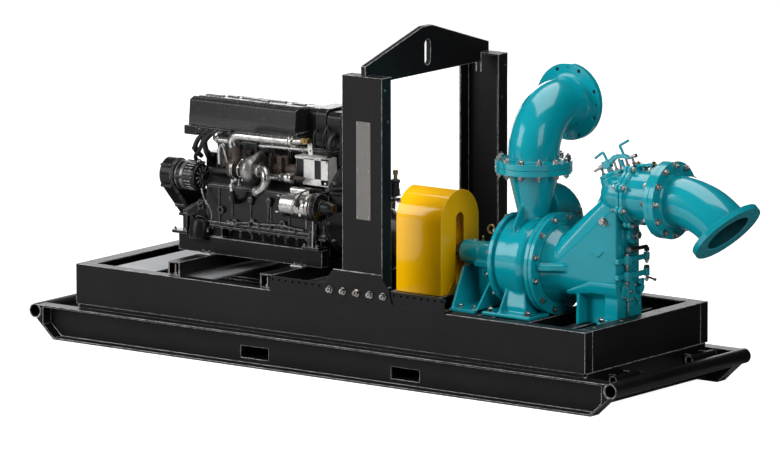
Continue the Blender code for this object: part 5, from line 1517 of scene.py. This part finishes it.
def bend_frames(start, way, axis, angle, radius, steps):
    way = Vector(way).normalized()
    first = Matrix.Translation(start) @ way_to(way).to_4x4()
    centre = Matrix.Translation(Vector(start) + Vector(axis).cross(way).normalized() * radius)
    return [centre @ Matrix.Rotation(angle * step / steps, 4,
            Vector(axis)) @ centre.inverted() @ first for step in range(steps + 1)]


def add_ring_chain(bm, rings, dark_from):
    """Extrude a circle through (frame, radius, shade) rings and weld the last to the first."""
    frame_before, radius_before = rings[0]
    ring = bmesh.ops.create_circle(bm, cap_ends=False, segments=BEND_SIDES,
        radius=radius_before)["verts"]
    bmesh.ops.transform(bm, matrix=frame_before, verts=ring)
    edges = list({edge for vert in ring for edge in vert.link_edges})
    made = list(ring)
    for index, (here, radius) in enumerate(rings[1:] + rings[:1]):
        grown = bmesh.ops.extrude_edge_only(bm, edges=edges)["geom"]
        verts = [g for g in grown if isinstance(g, bmesh.types.BMVert)]
        edges = [g for g in grown if isinstance(g, bmesh.types.BMEdge)]
        # Bore faces take the second slot, the dark teal that paints the shade inside the pipe.
        if index + 1 >= dark_from:
            for grown_face in (g for g in grown if isinstance(g, bmesh.types.BMFace)):
                grown_face.material_index = 1
        size = Matrix.Diagonal((radius / radius_before, radius / radius_before, 1, 1))
        bmesh.ops.transform(bm, matrix=here @ size @ frame_before.inverted(), verts=verts)
        frame_before, radius_before = here, radius
        made += verts
    bmesh.ops.remove_doubles(bm, verts=made, dist=1e-5)


def flanged_bend(name, joint, way, axis, angle, neck, radius, tail, outer, hub, replaces,
                 holes):
    way = Vector(way).normalized()
    start = Matrix.Translation(joint) @ way_to(way).to_4x4()
    step = Matrix.Translation

    def ahead(frame_here, direction, distance):
        return step(direction * distance) @ frame_here

    body = bend_frames(Vector(joint) + way * neck, way, axis, angle, radius, 28)
    out = body[-1].to_3x3() @ Vector(UP)
    end = ahead(body[-1], out, tail)
    rings = [(start, FLANGE_RADIUS), (ahead(start, way, FLANGE_THICK), FLANGE_RADIUS),
             (ahead(start, way, FLANGE_THICK), hub), (ahead(start, way, FLANGE_THICK + 0.006),
             outer + 0.004), (ahead(start, way, FLANGE_THICK + 0.01), outer)]
    inside = [f for f in body if (f.translation - start.translation).dot(way) > FLANGE_THICK
              + 0.012 and (end.translation - f.translation).dot(out) > FLANGE_THICK + 0.012]
    rings += [(f, outer) for f in inside]
    rings += [(ahead(end, out, -FLANGE_THICK - 0.01), outer),
              (ahead(end, out, -FLANGE_THICK - 0.006), outer + 0.004),
              (ahead(end, out, -FLANGE_THICK), hub),
              (ahead(end, out, -FLANGE_THICK), FLANGE_RADIUS), (end, FLANGE_RADIUS),
              (end, BORE + 0.004), (ahead(end, out, -0.004), BORE)]
    dark_from = len(rings)
    rings += [(f, BORE) for f in reversed(body[:-1])] + [(start, BORE)]
    bm = bmesh.new()
    add_ring_chain(bm, rings, dark_from)
    for count, hole_radius, circle, first in holes:
        cut = bmesh.new()
        for spot in bolt_ring(end.translation, out, circle, count, first):
            add_bar(cut, spot - out * 0.1, spot + out * 0.1, hole_radius, 20)
        bm = boolean(bm, cut)
    item = piece(name, bm, TEAL, replaces, bevel=0.0025, sharp=35)
    item.data.materials.append(TEAL_BORE_SHADE)
    return end.translation


# %% Discharge and suction bends
discharge_end = flanged_bend("discharge_bend", (RISER_X, 0, JOINT_Z), UP, BACKWARDS,
    math.pi / 2, 0.06, 0.29, 0.106, 0.16, 0.186, "discharge_elbow",
    ((8, 0.0135, BOLT_CIRCLE, 22.5), (4, 0.0065, BOLT_CIRCLE, 0.0)))
SUCTION_X = 2.187
suction_end = flanged_bend("suction_bend", (SUCTION_X, 0, INLET_Z), ALONG, (0, 1, 0),
    math.pi / 4, 0.07, 0.478, FLANGE_THICK, 0.159, 0.168, "suction_elbow",
    ((12, 0.0125, BOLT_CIRCLE, 15.0),))
print("open ends at", discharge_end, suction_end)

# %% Riser flange and its gasket
bm = bmesh.new()
add_turned(bm, [(0.145, 0), (0.18, 0), (0.184, 0.008), (0.2415, 0.01), (0.2415, 0.046),
           (0.145, 0.046)], (RISER_X, 0, JOINT_Z - 0.0485), UP, 96)
piece("riser_flange", bm, TEAL, "discharge_riser", bevel=0.0025)
bm = bmesh.new()
add_ring(bm, 0.2, 0.2385, 0.003, (RISER_X, 0, JOINT_Z - 0.0027), UP, 96)
piece("riser_gasket", bm, BLACK_RUBBER_AND_SHADE, bevel=0)

# %% [markdown]
# ## Suction spool
# Between the inlet drum and the bend there is a short spool. On the drum side its flange
# is a clamp ring with a rounded ear at each stud.

# %% Spool, eared clamp rings and joint flange
EARS = 8
bm = bmesh.new()
add_turned(bm, [(0.14, 0), (0.176, 0), (0.176, 0.03), (0.164, 0.04), (0.162, 0.06),
           (0.162, 0.204), (0.172, 0.212), (0.176, 0.218), (0.2415, 0.22), (0.2415, 0.2555),
           (0.14, 0.2555)], (1.9305, 0, INLET_Z), ALONG, 96)
piece("suction_spool_body", bm, TEAL, "suction_spool", bevel=0.0025)
bm = bmesh.new()
add_ring(bm, 0.2, 0.2385, 0.003, (SUCTION_X - 0.002, 0, INLET_Z), ALONG, 96)
piece("suction_gasket", bm, BLACK_RUBBER_AND_SHADE, bevel=0)
for label, start in (("inner", 1.9), ("outer", 1.9305)):
    bm = bmesh.new()
    add_bar(bm, (start, 0, INLET_Z), (start + 0.026, 0, INLET_Z), 0.184, 72)
    for spot in bolt_ring((start, 0, INLET_Z), ALONG, 0.186, EARS, 22.5):
        add_bar(bm, spot, spot + Vector((0.026, 0, 0)), 0.024, 28)
    casting("clamp_ring_" + label, bm, TEAL, voxel=0.0042, rounds=3)
ear_spots = bolt_ring((1.9565, 0, INLET_Z), ALONG, 0.19, EARS, 22.5)
bolts("clamp_ring_nuts", ear_spots, ALONG, STAINLESS, 0.026)
back_spots = bolt_ring((1.9, 0, INLET_Z), ALONG, 0.19, EARS, 22.5)
bolts("clamp_ring_heads", back_spots, BACKWARDS, STAINLESS, 0.026)

# %% Nuts and heads of the flanged joints
bolts("riser_joint_heads", bolt_ring((RISER_X, 0, JOINT_Z + FLANGE_THICK), UP, BOLT_CIRCLE, 12),
      UP, STAINLESS, 0.033)
bolts("riser_joint_nuts", bolt_ring((RISER_X, 0, JOINT_Z - 0.039), UP, BOLT_CIRCLE, 12), DOWN,
      STAINLESS, 0.033)
bolts("suction_joint_heads", bolt_ring((SUCTION_X + FLANGE_THICK, 0, INLET_Z), ALONG,
      BOLT_CIRCLE, 12, 0), ALONG, STAINLESS, 0.033)
bolts("suction_joint_nuts", bolt_ring((SUCTION_X - 0.037, 0, INLET_Z), ALONG, BOLT_CIRCLE, 12,
      0), BACKWARDS, STAINLESS, 0.033)
bolts("cover_ring_heads", bolt_ring((RING_X + 0.0315, 0, SHAFT_Z), ALONG, 0.288, COVER_BOLTS),
      ALONG, STAINLESS, 0.031)
bolts("back_ring_heads", bolt_ring((BACK_X, 0, SHAFT_Z), ALONG, 0.276, COVER_BOLTS), BACKWARDS,
      STAINLESS, 0.026)

# %% [markdown]
# ## Coupling guard
# A bright yellow hood of bent sheet hides the coupling. It's open below and has a slot at
# each end for the shaft. The sheet is thin, so its edges show as a fine bright line.

# %% Guard
GUARD_HALF = 0.199
GUARD_TOP = 1.15
GUARD_FOOT = 0.5
GUARD_X = (0.24, 0.588)
SLOT_HALF = 0.043


def hood(inset, foot):
    radius = GUARD_HALF - inset
    return [(-radius, foot), (radius, foot)] + arc((0, GUARD_TOP - GUARD_HALF), radius, 0, 180,
            48)


bm = bmesh.new()
add_plate(bm, hood(0, GUARD_FOOT), "YZ", *GUARD_X)
cut = bmesh.new()
add_plate(cut, hood(0.005, GUARD_FOOT - 0.05), "YZ", GUARD_X[0] + 0.005, GUARD_X[1] - 0.005)
bm = boolean(bm, cut)
cut = bmesh.new()
slot = [(-SLOT_HALF, 0.3), (SLOT_HALF, 0.3)] + arc((0, 0.962), SLOT_HALF, 0, 180, 24)
add_plate(cut, slot, "YZ", GUARD_X[0] - 0.1, GUARD_X[1] + 0.1)
bm = boolean(bm, cut)
piece("guard_hood", bm, YELLOW, "coupling_guard")
bm = bmesh.new()
for side in (-1, 1):
    corner = [(side * 0.15, GUARD_FOOT), (side * 0.048, GUARD_FOOT), (side * 0.048, 0.606)]
    add_plate(bm, corner, "YZ", GUARD_X[1] + GAP, GUARD_X[1] + 0.004)
piece("guard_corner_plates", bm, YELLOW, bevel=0.0008)

# %% [markdown]
# ## Shaft, coupling and bearing housing
# The shaft leaves the flywheel housing, passes the coupling under the guard and enters
# the bearing housing through a black seal. The housing carries a grease fitting on top,
# a drain below, and sits on a stand of three plates.

# %% Clutch housing behind the guard
bm = bmesh.new()
clutch = [(0, 0), (0.235, 0), (0.235, 0.022), (0.215, 0.03), (0.205, 0.12), (0.15, 0.19),
          (0.12, 0.262), (0.095, 0.28), (0, 0.28)]
add_turned(bm, clutch, (-0.104, 0, SHAFT_Z), ALONG, 64)
for turn in range(0, 360, 45):
    way = spoke(turn)
    spot = Vector((-0.104, 0, SHAFT_Z)) + way * 0.16
    add_hull(bm, (add_bar, spot, spot + Vector((0.17, 0, 0)), 0.007, 10),
             (add_bar, spot + way * 0.065, spot + way * 0.058 + Vector((0.03, 0, 0)), 0.007,
             10))
casting("clutch_housing", bm, ENGINE_BLACK, voxel=0.006, rounds=2)

# %% Shaft and coupling
bm = bmesh.new()
shaft = [(0, 0), (0.034, 0), (0.034, 0.395), (0.06, 0.4), (0.06, 0.42), (0.108, 0.424),
         (0.108, 0.468), (0.092, 0.472), (0.092, 0.5), (0.108, 0.504), (0.108, 0.548),
         (0.06, 0.552), (0.056, 0.575), (0.034, 0.578), (0.034, 0.724), (0, 0.724)]
add_turned(bm, shaft, (-0.1044, 0, SHAFT_Z), ALONG, 64)
for spot in bolt_ring((0.326, 0, SHAFT_Z), ALONG, 0.083, 6, 0):
    add_bar(bm, spot - Vector((0.02, 0, 0)), spot + Vector((0.135, 0, 0)), 0.01, 6)
piece("shaft_and_coupling", bm, SILVER, "drive_shaft")

# %% Bearing housing with its seal, grease fitting, eye and drain
bm = bmesh.new()
body = [(0, 0.004), (0.06, 0.004), (0.072, 0.01), (0.0765, 0.022), (0.0765, 0.15),
        (0.0785, 0.156), (0.0785, 0.255), (0.084, 0.285), (0.092, 0.312), (0.092, 0.3866),
        (0, 0.3866)]
add_turned(bm, body, (0.622, 0, SHAFT_Z), ALONG, 72)
add_bar(bm, (0.7, 0, SHAFT_Z), (0.7, 0, 0.85), 0.018, 24, 0.014)
add_hull(bm, (add_box, (0.775, -0.105, 0.7), (0.935, -0.05, 0.735)),
         (add_box, (0.775, -0.05, 0.69), (0.935, 0.05, 0.7)))
for turn in (20, 160, 200, 340):
    spot = Vector((0.985, 0, SHAFT_Z)) + 0.112 * spoke(turn)
    add_bar(bm, spot, spot + Vector((0.0243, 0, 0)), 0.03, 28)
casting("bearing_casting", bm, TEAL, "bearing_housing", voxel=0.004, rounds=3)
bm = bmesh.new()
seal = [(0.036, 0), (0.066, 0), (0.07, 0.004), (0.07, 0.01), (0.036, 0.012)]
add_turned(bm, seal, (0.6155, 0, SHAFT_Z), ALONG, 56)
piece("bearing_seal", bm, BLACK_RUBBER_AND_SHADE, bevel=0.0006)
bm = bmesh.new()
add_ring(bm, 0.036, 0.052, 0.004, (0.611, 0, SHAFT_Z), ALONG, 48)
add_bar(bm, (0.56, 0, SHAFT_Z), (0.621, 0, SHAFT_Z), 0.0335, 40)
for spot in ((0.985, -0.105, 0.805), (0.985, 0.105, 0.805), (0.985, -0.105, 0.727),
             (0.985, 0.105, 0.727)):
    add_bolt(bm, spot, BACKWARDS, 0.024)
add_bolt(bm, (0.85, -0.078, 0.7), (0, -0.3, -1), 0.018, stud=False)
add_bolt(bm, (0.905, -0.084, 0.712), NEARWARDS, 0.016, stud=False)
add_bolt(bm, (0.8, -0.075, 0.716), NEARWARDS, 0.014, stud=False)
piece("bearing_hardware", bm, STAINLESS, bevel=0.0005)
bm = bmesh.new()
add_bar(bm, (0.768, 0, 0.838), (0.768, 0, 0.85), 0.01, 6)
add_bar(bm, (0.768, 0, 0.85), (0.768, 0, 0.864), 0.005, 12)
add_ball(bm, (0.768, 0, 0.868), 0.0085, 14, 8)
eye = [(x, -0.078, z) for x, z in arc((0.888, 0.941), 0.026, 0, 360, 24)]
add_tube(bm, eye, 0.0062, 12)
add_bar(bm, (0.912, -0.078, 0.93), (1.006, -0.078, 0.925), 0.0075, 14)
piece("grease_fitting_and_eye", bm, BRASS, bevel=0.0003)
bm = bmesh.new()
add_box(bm, (0.815, -0.072, 0.668), (0.86, -0.04, 0.692))
add_hose(bm, [(0.825, -0.07, 0.676), (0.822, -0.078, 0.655), (0.85, -0.082, 0.644),
         (0.89, -0.082, 0.65), (0.915, -0.08, 0.668), (0.93, -0.075, 0.69)], 6, 0.0055, 12)
piece("bearing_drain_pipe", bm, TEAL, bevel=0.0008)

# %% Bearing pedestal
bm = bmesh.new()
STAND_TOP = 0.6845
plate = [(-0.3, BED_TOP + GAP), (0.3, BED_TOP + GAP), (0.082, STAND_TOP), (-0.082, STAND_TOP)]
add_plate(bm, plate, "YZ", 0.915, 0.93)
add_hull(bm, (add_box, (0.735, -0.292, BED_TOP + GAP), (0.75, 0.292, BED_TOP + 0.02)),
         (add_box, (0.665, -0.078, STAND_TOP - 0.01), (0.68, 0.078, STAND_TOP)))
add_box(bm, (0.742, -0.32, BED_TOP + GAP), (0.93, 0.32, BED_TOP + 0.02))
add_box(bm, (0.75, -0.018, 0.45), (0.92, 0.018, STAND_TOP - 0.001))
piece("bearing_stand", bm, TEAL, "bearing_pedestal", bevel=0.0025)
bolts("bearing_stand_bolts", [(x, y, BED_TOP + 0.02) for x in (0.785, 0.885)
      for y in (-0.255, 0.255)], UP, STAINLESS, 0.026)
bolts("volute_foot_bolts", [(x, y, BED_TOP + 0.024) for x in (1.035, 1.315)
      for y in (-0.285, 0.285)], UP, STAINLESS, 0.034)

# %% [markdown]
# ## Return chamber
# A bent chamber comes off the riser's foot and turns down the far side of the drum. It's
# a swept tube with a flange at its lower end.

# %% Return chamber
bm = bmesh.new()
bend = [(RISER_X, y, z) for y, z in arc((0.13, 0.928), 0.19, 105, 0, 14)]
bend += [(RISER_X, 0.32, 0.86), (RISER_X, 0.32, 0.8)]
add_tube(bm, bend, 0.13, 56)
add_bar(bm, (RISER_X, 0.32, 0.895), (RISER_X, 0.32, 0.93), 0.16, 64)
for spot in bolt_ring((RISER_X, 0.32, 0.895), UP, 0.162, 6, 30):
    add_bar(bm, spot, spot + Vector((0, 0, 0.035)), 0.02, 24)
casting("return_chamber_casting", bm, TEAL, "return_chamber", voxel=0.0055, rounds=3)
bm = bmesh.new()
for spot in bolt_ring((RISER_X, 0.32, 0.93), UP, 0.162, 6, 30):
    add_bolt(bm, spot, UP, 0.026)
add_bar(bm, (1.268, 0.29, 0.985), (1.292, 0.285, 1.045), 0.009, 16)
eye = [(x, 0.3, z) for x, z in arc((1.288, 1.052), 0.02, 0, 360, 20)]
add_tube(bm, eye, 0.005, 10)
piece("return_chamber_hardware", bm, STAINLESS, bevel=0.0005)

# %% [markdown]
# ## Filling cover
# A sloping lid on an oval neck is held by an arched bridge. Two stainless rods, a row of
# studs and two bent handles hold it. All of it is built flat and carried onto the slope.

# %% Lid, bridge and handles
lid = oval_plate(0.1, 0.126, COLLAR_TOP + 0.0005, 0.000)
add_part(lid, oval_plate(0.08, 0.09, -0.0005, 0.008))
add_box(lid, (-0.078, -0.02, 0.04), (-0.022, 0.02, 0.088))
arch = [(-0.03, 0.052), (0.028, 0.076), (0.085, 0.066), (0.128, 0.044), (0.134, 0.06),
        (0.1, 0.088), (0.06, 0.102), (0.02, 0.104), (-0.03, 0.086)]
add_plate(lid, arch, "XZ", -0.016, 0.016)
for x in (-0.05, 0.06):
    add_bar(lid, (x, 0, 0.014), (x, 0, 0.062), 0.013, 20)
piece("fill_lid_and_bridge", on_slope(lid), TEAL, "fill_cover", bevel=0.003)
bm = bmesh.new()
for path in (((-0.035, -0.01, 0.08), (-0.04, -0.01, 0.112), (-0.046, -0.01, 0.138),
             (-0.062, -0.01, 0.139), (-0.116, -0.01, 0.124)),
             ((0.086, 0.008, 0.085), (0.082, 0.008, 0.122), (0.078, 0.008, 0.144),
             (0.094, 0.008, 0.15), (0.152, 0.008, 0.158))):
    add_hose(bm, path, 5, 0.0085, 16)
piece("fill_handles", on_slope(bm), TEAL, bevel=0)
bm = bmesh.new()
add_bar(bm, (-0.158, 0, 0.05), (-0.074, 0, 0.064), 0.0085, 18)
add_bar(bm, (-0.112, 0, 0.058), (-0.082, 0, 0.063), 0.0145, 22)
add_bar(bm, (0.12, 0, 0.056), (0.18, 0, 0.055), 0.009, 18)
add_bar(bm, (0.166, 0, 0.055), (0.182, 0, 0.055), 0.0125, 18)
for x, high in ((-0.1, 0.058), (-0.03, 0.054), (0.006, 0.064), (0.045, 0.07), (0.098, 0.06),
                (0.147, 0.056)):
    add_bar(bm, (x, 0, -0.01), (x, 0, high), 0.0075, 14)
    add_bar(bm, (x, 0, 0.008), (x, 0, 0.018), 0.0125, 6)
    add_bar(bm, (x, 0, 0.018), (x, 0, 0.022), 0.01, 14)
piece("fill_studs_and_rods", on_slope(bm), STAINLESS, bevel=0.0005)

# %% Lever on top of the spool
bm = bmesh.new()
add_hull(bm, (add_box, (1.936, -0.016, 1.43), (1.946, 0.016, 1.446)),
         (add_box, (2.055, -0.013, 1.452), (2.066, 0.013, 1.468)))
add_bar(bm, (1.945, 0, 1.405), (1.945, 0, 1.44), 0.013, 20)
add_bar(bm, (2.045, 0, 1.405), (2.052, 0, 1.456), 0.012, 20)
piece("spool_lever", bm, TEAL, bevel=0.002)
bm = bmesh.new()
add_bar(bm, (1.924, -0.018, 1.415), (1.938, -0.018, 1.44), 0.013, 12)
add_bar(bm, (2.062, 0, 1.44), (2.066, 0, 1.474), 0.012, 12)
piece("lever_bushes", bm, BLACK_RUBBER_AND_SHADE, bevel=0.0008)
bm = bmesh.new()
add_bar(bm, (2.062, -0.002, 1.458), (2.088, -0.002, 1.456), 0.009, 6)
add_bolt(bm, (1.95, -0.002, 1.447), UP, 0.022)
piece("lever_bolts", bm, BRASS, bevel=0.0005)

# %% [markdown]
# ## Chest fittings
# The end of the chest carries two clean-out ports. Teal arms hold their covers and turn
# on an upright steel pin, with a black-handled valve above and a round drain cover below.

# %% Plugs and pad on the chest's sides
bpy.context.view_layer.update()


def on_chest(x, side, z):
    """Where a line from the side meets the chest casting."""
    return PIECES["chest_casting"].ray_cast((x, side * 0.5, z), (0, -side, 0))[1]


bm = bmesh.new()
for side in (-1, 1):
    add_bolt(bm, on_chest(1.786, side, 1.092), (0, side, 0), 0.04, stud=False)
add_bolt(bm, (1.93, 0, 1.005), ALONG, 0.046, stud=False)
piece("chest_plugs", bm, STAINLESS, bevel=0.0008)
bm = bmesh.new()
pad = [(1.696, 0.902), (1.702, 0.911), (1.79, 0.918), (1.796, 0.908), (1.758, 0.862),
       (1.744, 0.86), (1.7, 0.892)]
for side in (-1, 1):
    raised = bmesh.new()
    for x, z in pad:
        root = on_chest(x, side, z)
        raised.verts.new(root - Vector((0, side * 0.003, 0)))
        top = on_chest(1.746 + (x - 1.746) * 0.84, side, 0.892 + (z - 0.892) * 0.78)
        raised.verts.new(top + Vector((0, side * 0.0065, 0)))
    bmesh.ops.convex_hull(raised, input=raised.verts[:])
    add_part(bm, raised)
piece("casting_pad", bm, TEAL, bevel=0.0016)

# %% Drain cover, clamps, valve and pin
bm = bmesh.new()
cover = [(0, 0), (0.071, 0), (0.073, 0.004), (0.073, 0.018), (0.068, 0.024), (0.03, 0.026),
         (0.026, 0.03), (0, 0.03)]
add_turned(bm, cover, (CHEST_END + GAP, -0.015, 0.648), ALONG, 56)
for step in range(4):
    spot = Vector((CHEST_END + GAP, -0.015, 0.648)) + 0.066 * spoke(31.5 + 90 * step)
    add_bar(bm, spot, spot + Vector((0.022, 0, 0)), 0.017, 20)
casting("drain_cover_casting", bm, TEAL, "drain_cover", voxel=0.003, rounds=2)
bm = bmesh.new()
add_hose(bm, [(1.9, 0.07, 0.7), (1.918, 0.092, 0.682), (1.918, 0.096, 0.65),
         (1.905, 0.08, 0.625)], 6, 0.01, 16)
add_bar(bm, (1.912, 0.06, 0.655), (1.912, 0.1, 0.655), 0.016, 20)
add_hose(bm, [(1.9, 0.04, 0.606), (1.905, 0.06, 0.588), (1.905, 0.076, 0.572),
         (1.902, 0.07, 0.556)], 5, 0.008, 14)
add_bar(bm, (1.905, 0.05, 0.43), (1.905, 0.05, 0.47), 0.03, 28)
piece("drain_clamps", bm, TEAL, bevel=0.001)
bm = bmesh.new()
for z in (0.85, 0.75):
    add_box(bm, (CHEST_END + GAP, -0.145, z - 0.016), (CHEST_END + 0.03, -0.06, z + 0.014))
    add_bar(bm, (1.9, -0.046, z - 0.03), (1.9, -0.046, z + 0.026), 0.026, 32)
    add_hull(bm, (add_box, (1.89, -0.05, z - 0.02), (1.912, -0.04, z + 0.018)),
             (add_box, (1.892, 0.15, z - 0.018), (1.91, 0.16, z + 0.016)))
    add_bar(bm, (1.901, 0.16, z - 0.026), (1.901, 0.16, z + 0.024), 0.02, 28)
casting("clamp_arms", bm, TEAL, "cleanout_clamp", voxel=0.003, rounds=2)
bm = bmesh.new()
add_bar(bm, (1.902, -0.046, 0.672), (1.902, -0.046, 0.884), 0.0085, 18)
for z in (0.808, 0.7, 0.876):
    add_bar(bm, (1.902, -0.046, z), (1.902, -0.046, z + 0.014), 0.015, 6)
for z in (0.862, 0.748):
    add_bar(bm, (1.902, 0.16, z - 0.06), (1.902, 0.16, z + 0.03), 0.007, 14)
    add_bar(bm, (1.902, 0.16, z - 0.052), (1.902, 0.16, z - 0.038), 0.013, 6)
add_bar(bm, (1.902, 0.165, 0.716), (1.91, 0.232, 0.69), 0.0065, 14)
add_ball(bm, (1.911, 0.236, 0.689), 0.011, 16, 10)
add_bar(bm, (CHEST_END + GAP, 0, 0.912), (1.9, 0, 0.912), 0.016, 24)
add_bar(bm, (1.905, -0.04, 0.914), (1.905, 0.045, 0.91), 0.02, 28)
add_bar(bm, (1.905, -0.048, 0.914), (1.905, -0.038, 0.914), 0.016, 6)
for step in range(4):
    spot = Vector((1.896, -0.015, 0.648)) + 0.066 * spoke(31.5 + 90 * step)
    add_bolt(bm, spot, ALONG, 0.017, stud=False)
add_bolt(bm, (1.9035, -0.015, 0.648), ALONG, 0.02, stud=False)
piece("clamp_pin_and_valve", bm, STAINLESS, bevel=0.0005)
bm = bmesh.new()
add_bar(bm, (1.905, 0.044, 0.91), (1.905, 0.15, 0.908), 0.0125, 20)
add_bar(bm, (1.902, 0.16, 0.878), (1.902, 0.16, 0.902), 0.017, 20)
add_bar(bm, (1.902, 0.16, 0.762), (1.902, 0.16, 0.79), 0.017, 20)
piece("valve_grip", bm, BLACK_RUBBER_AND_SHADE)
bm = bmesh.new()
add_bar(bm, (1.905, 0.148, 0.908), (1.905, 0.16, 0.908), 0.01, 18)
piece("valve_cap", bm, BRASS, bevel=0.0008)
bm = bmesh.new()
add_tube(bm, [(1.912, -0.05, 0.59), (1.912, -0.05, 0.52), (1.912, -0.05, 0.44)], 0.006, 12)
add_hose(bm, [(1.898, -0.045, 0.61), (1.908, -0.05, 0.603), (1.912, -0.05, 0.59)], 5, 0.006, 12)
piece("drain_line", bm, SILVER, bevel=0)
print("pieces in all:", len(PIECES))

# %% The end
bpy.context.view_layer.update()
